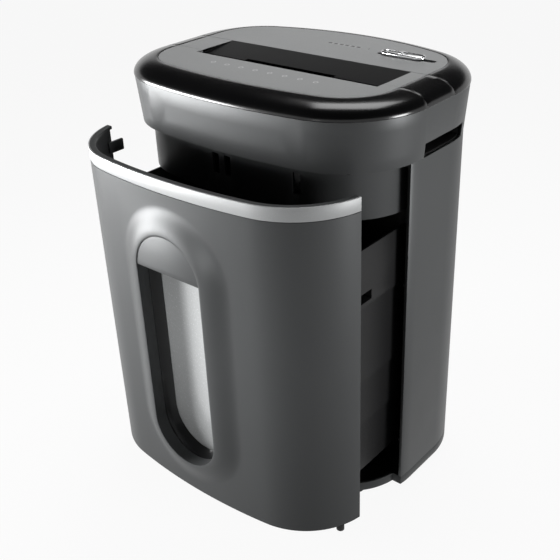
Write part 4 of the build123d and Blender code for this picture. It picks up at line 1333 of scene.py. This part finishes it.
    def _shelf(self, stations: list[Station]) -> bpy.types.Object:
        """The shelf behind the panel that the carrier is screwed to.

        Args:
            stations: The places along the plan.

        Returns:
            The shelf.
        """
        low, high, root = self.shelf_low, self.shelf_low + self.lip, self.wall - self.shelf_sink
        section = [(root, low), (self.shelf_depth, low), (self.shelf_depth, high), (root, high)]
        return self._swept("panel_shelf", [[spot.at(*pair) for pair in section] for spot in stations])

    def _tab(self) -> bpy.types.Object:
        """The tab at the left end that faces the interlock switch.

        Returns:
            The tab.
        """
        half = self.tab_height / 2
        outer = self.tab_inset - CABINET.half_width
        end = self.edge - self.out
        low = (outer, end - self.tab_length / 2, self.tab_level - half)
        high = (outer + self.tab_thickness, end + self.tab_length, self.tab_level + half)
        return Bench.slab("interlock_tab", low, high, self.tab_round)


@dataclass
class SlideKnob:
    """The bright pill-shaped knob of the mode switch with a raised thumb ridge."""

    paints: Paintbox
    steps: int = 16
    ridge_width: float = 3.0
    ridge_height: float = 1.1
    ridge_inset: float = 2.0
    ridge_round: float = 0.9
    stem_half: tuple[float, float] = (15.0, 2.5)
    stem_sink: float = 0.5
    stem_round: float = 0.4
    profile: tuple[tuple[float, float], ...] = (
        (0.0, 2.2), (0.0, 1.3), (0.25, 0.7), (0.8, 0.2), (1.6, 0.0), (2.2, 0.1), (2.8, 0.5), (4.2, 0.65),
    )

    def build(self) -> None:
        """Builds the knob inside its solid's box."""
        low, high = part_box("mode_knob")
        low, high = low / MM, high / MM
        top = high[2] - self.ridge_height
        foot = top - self.profile[0][1]
        rings = [self._pill(low, high, inset, top - drop) for inset, drop in self.profile]
        knob = Bench.loft("slide_knob", rings)
        Bench.close(knob)
        x, y = (low[0] + high[0]) / 2, (low[1] + high[1]) / 2
        ridge = Bench.slab(
            "thumb_ridge",
            (x - self.ridge_width, low[1] + self.ridge_inset, foot),
            (x + self.ridge_width, high[1] - self.ridge_inset, high[2]),
            self.ridge_round,
        )
        along, across = self.stem_half
        stem = Bench.slab(
            "knob_stem",
            (x - along, y - across, low[2]),
            (x + along, y + across, foot + self.stem_sink),
            self.stem_round,
        )
        Bench.join(knob, ridge, stem)
        Bench.smooth(knob)
        self.paints.put(knob, CHROME)
        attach(knob, Body.KNOB.value)
        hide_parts("mode_knob")
        LOG.info("modelled %s", knob.name)

    def _pill(self, low: Vector, high: Vector, inset: float, level: float) -> list[Point]:
        """One pill-shaped ring of the knob.

        Args:
            low: The solid's lowest corner.
            high: The solid's highest corner.
            inset: How far the ring is drawn in.
            level: Its height.

        Returns:
            The ring's points.
        """
        reach = (high[1] - low[1]) / 2 - inset
        run = (high[0] - low[0]) / 2 - (high[1] - low[1]) / 2
        middle = (low + high) / 2
        points = []
        for k in range(2 * self.steps):
            angle = math.pi * (k + 0.5) / self.steps - math.pi / 2
            shift = run if k < self.steps else -run
            x = middle[0] + shift + reach * math.cos(angle)
            points.append((x, middle[1] + reach * math.sin(angle), level))
        return points


@dataclass(frozen=True)
class SoftBox:
    """A soft box that the camera doesn't see, in metres, with its beam's spread in degrees."""

    name: str
    place: Point
    spot: Point
    size: tuple[float, float]
    spread: float
    watts: float

    def light(self) -> None:
        """Adds the lamp and points it at its spot."""
        data = bpy.data.lights.new(self.name, "AREA")
        data.shape = "RECTANGLE"
        data.size, data.size_y = self.size
        data.spread = math.radians(self.spread)
        data.energy = self.watts
        lamp = bpy.data.objects.new(self.name, data)
        lamp.location = self.place
        lamp.visible_camera = False
        away = Vector(self.place) - Vector(self.spot)
        lamp.rotation_euler = away.to_track_quat("Z", "Y").to_euler()
        bpy.context.scene.collection.objects.link(lamp)


@dataclass
class Studio:
    """The floor, the light and the camera."""

    eye: Point = (0.548237, -0.662155, 0.659168)
    azimuth: float = 41.42867
    elevation: float = 28.85472
    roll: float = -2.56263
    focal_px: float = 891.756
    frame_px: float = 560.0
    floor_size: float = 14.0
    floor_colour: Colour = (0.95, 0.95, 0.95)
    floor_bounce: Colour = (0.08, 0.08, 0.08)
    floor_glow: float = 1.0
    floor_share: float = 0.93
    sky: float = 0.03
    horizon: tuple[float, float, float, float] = (0.2, 0.32, 1.0, 0.03)
    sensor_mm: float = 36.0
    clip: float = 0.01
    boxes: tuple[SoftBox, ...] = (
        SoftBox("front_box", (-1.22, -1.02, 0.24), (0.0, -0.12, 0.42), (0.9, 0.45), 60.0, 9.0),
        SoftBox("left_box", (-1.37, -0.73, 0.35), (0.0, -0.12, 0.42), (0.6, 0.4), 45.0, 0.4),
        SoftBox("right_box", (1.48, 0.2, 0.3), (0.12, -0.05, 0.42), (0.5, 0.5), 50.0, 2.2),
        SoftBox("window_box", (0.1, -1.6, 0.26), (0.0, -0.17, 0.2), (0.12, 0.25), 14.0, 0.13),
        SoftBox("top_box", (-0.15, 0.4, 1.5), (0.0, 0.05, 0.43), (0.8, 0.6), 120.0, 5.0),
    )

    def set_camera(self) -> None:
        """Puts the camera where the photograph was taken."""
        data = bpy.data.cameras.new("photo_camera")
        data.sensor_width = self.sensor_mm
        data.lens = data.sensor_width * self.focal_px / self.frame_px
        data.clip_start = self.clip
        camera = bpy.data.objects.new("photo_camera", data)
        bpy.context.scene.collection.objects.link(camera)
        around, up = math.radians(self.azimuth), math.radians(self.elevation)
        back = Vector((math.sin(around) * math.cos(up), -math.cos(around) * math.cos(up), math.sin(up)))
        right = Vector((0.0, 0.0, 1.0)).cross(back).normalized()
        above = back.cross(right)
        turn = math.radians(self.roll)
        level = right * math.cos(turn) + above * math.sin(turn)
        upright = above * math.cos(turn) - right * math.sin(turn)
        axes = Matrix((level, upright, back)).transposed().to_4x4()
        camera.matrix_world = Matrix.Translation(self.eye) @ axes
        bpy.context.scene.camera = camera

    def set_light(self) -> None:
        """Sets the sky and lights the machine from soft boxes."""
        self._set_sky()
        for box in self.boxes:
            box.light()

    def _set_sky(self) -> None:
        """A dim sky with a white horizon that shows to the eye and in gloss."""
        world = bpy.data.worlds.new("studio_sky")
        world.use_nodes = True
        bpy.context.scene.world = world
        tree = world.node_tree
        path = tree.nodes.new("ShaderNodeLightPath")
        seen = self._seen(tree, path)
        height = tree.nodes.new("ShaderNodeSeparateXYZ")
        tree.links.new(tree.nodes.new("ShaderNodeTexCoord").outputs["Generated"], height.inputs[0])
        glow = tree.nodes.new("ShaderNodeMapRange")
        glow.interpolation_type = "SMOOTHSTEP"
        tree.links.new(height.outputs["Z"], glow.inputs["Value"])
        for name, value in zip(("From Min", "From Max", "To Min", "To Max"), self.horizon):
            glow.inputs[name].default_value = value
        white = tree.nodes.new("ShaderNodeMath")
        white.operation = "MAXIMUM"
        tree.links.new(path.outputs["Is Camera Ray"], white.inputs[0])
        tree.links.new(glow.outputs[0], white.inputs[1])
        strength = tree.nodes.new("ShaderNodeMix")
        tree.links.new(seen, strength.inputs[0])
        strength.inputs[2].default_value = self.sky
        tree.links.new(white.outputs[0], strength.inputs[3])
        back = tree.nodes["Background"]
        back.inputs["Color"].default_value = (1.0, 1.0, 1.0, 1.0)
        tree.links.new(strength.outputs[0], back.inputs["Strength"])

    @staticmethod
    def _seen(tree: bpy.types.NodeTree, path: bpy.types.Node) -> bpy.types.NodeSocket:
        """A mask of the rays that show the background: seen straight on, in gloss or through glass.

        Args:
            tree: The node tree to add to.
            path: Its Light Path node.

        Returns:
            The mask's socket.
        """
        socket = path.outputs["Is Camera Ray"]
        for name in ("Is Glossy Ray", "Is Transmission Ray"):
            larger = tree.nodes.new("ShaderNodeMath")
            larger.operation = "MAXIMUM"
            tree.links.new(socket, larger.inputs[0])
            tree.links.new(path.outputs[name], larger.inputs[1])
            socket = larger.outputs[0]
        return socket

    def lay_floor(self) -> None:
        """Lays the pale floor, white to the eye and dimmer as a source of light."""
        Bench.clear()
        bpy.ops.mesh.primitive_plane_add(size=self.floor_size, location=(0.0, 0.0, 0.0))
        floor = bpy.context.object
        floor.name = "studio_floor"
        shade = Shade("studio_floor")
        cloud = shade.noise(400.0, 2.0)
        pale = shade.mixed(cloud, scaled(self.floor_colour, 0.99), self.floor_colour)
        path = shade.tree.nodes.new("ShaderNodeLightPath")
        seen = Sock(shade, self._seen(shade.tree, path))
        lit = shade.node("ShaderNodeBsdfDiffuse", None, {"Color": pale})
        glow = shade.node("ShaderNodeEmission", None, {"Color": (1.0, 1.0, 1.0), "Strength": self.floor_glow})
        shown = shade.node("ShaderNodeMixShader", None, {0: self.floor_share, 1: lit, 2: glow})
        dim = shade.node("ShaderNodeBsdfDiffuse", None, {"Color": self.floor_bounce})
        mix = shade.node("ShaderNodeMixShader", None, {0: seen, 1: dim, 2: shown})
        shade.node("ShaderNodeOutputMaterial", None, {"Surface": mix})
        floor.data.materials.append(shade.material)


def main() -> None:
    """Builds the sub-assemblies in order."""
    logging.basicConfig(level=logging.INFO, format="%(name)s: %(message)s")
    bpy.context.scene.view_settings.view_transform = "Standard"
    Bench.clear()
    paints = Paintbox()
    paints.paint_nodes(frame["record"], frame["nodes"])
    LOG.info("painted %d solids", len(frame["nodes"]))
    RoundedSolids(paints).build()
    TopRim(paints).build()
    DrawerPanel(paints).build()
    SlideKnob(paints).build()
    studio = Studio()
    studio.set_camera()
    studio.set_light()
    studio.lay_floor()


if __name__ == "__main__":
    main()
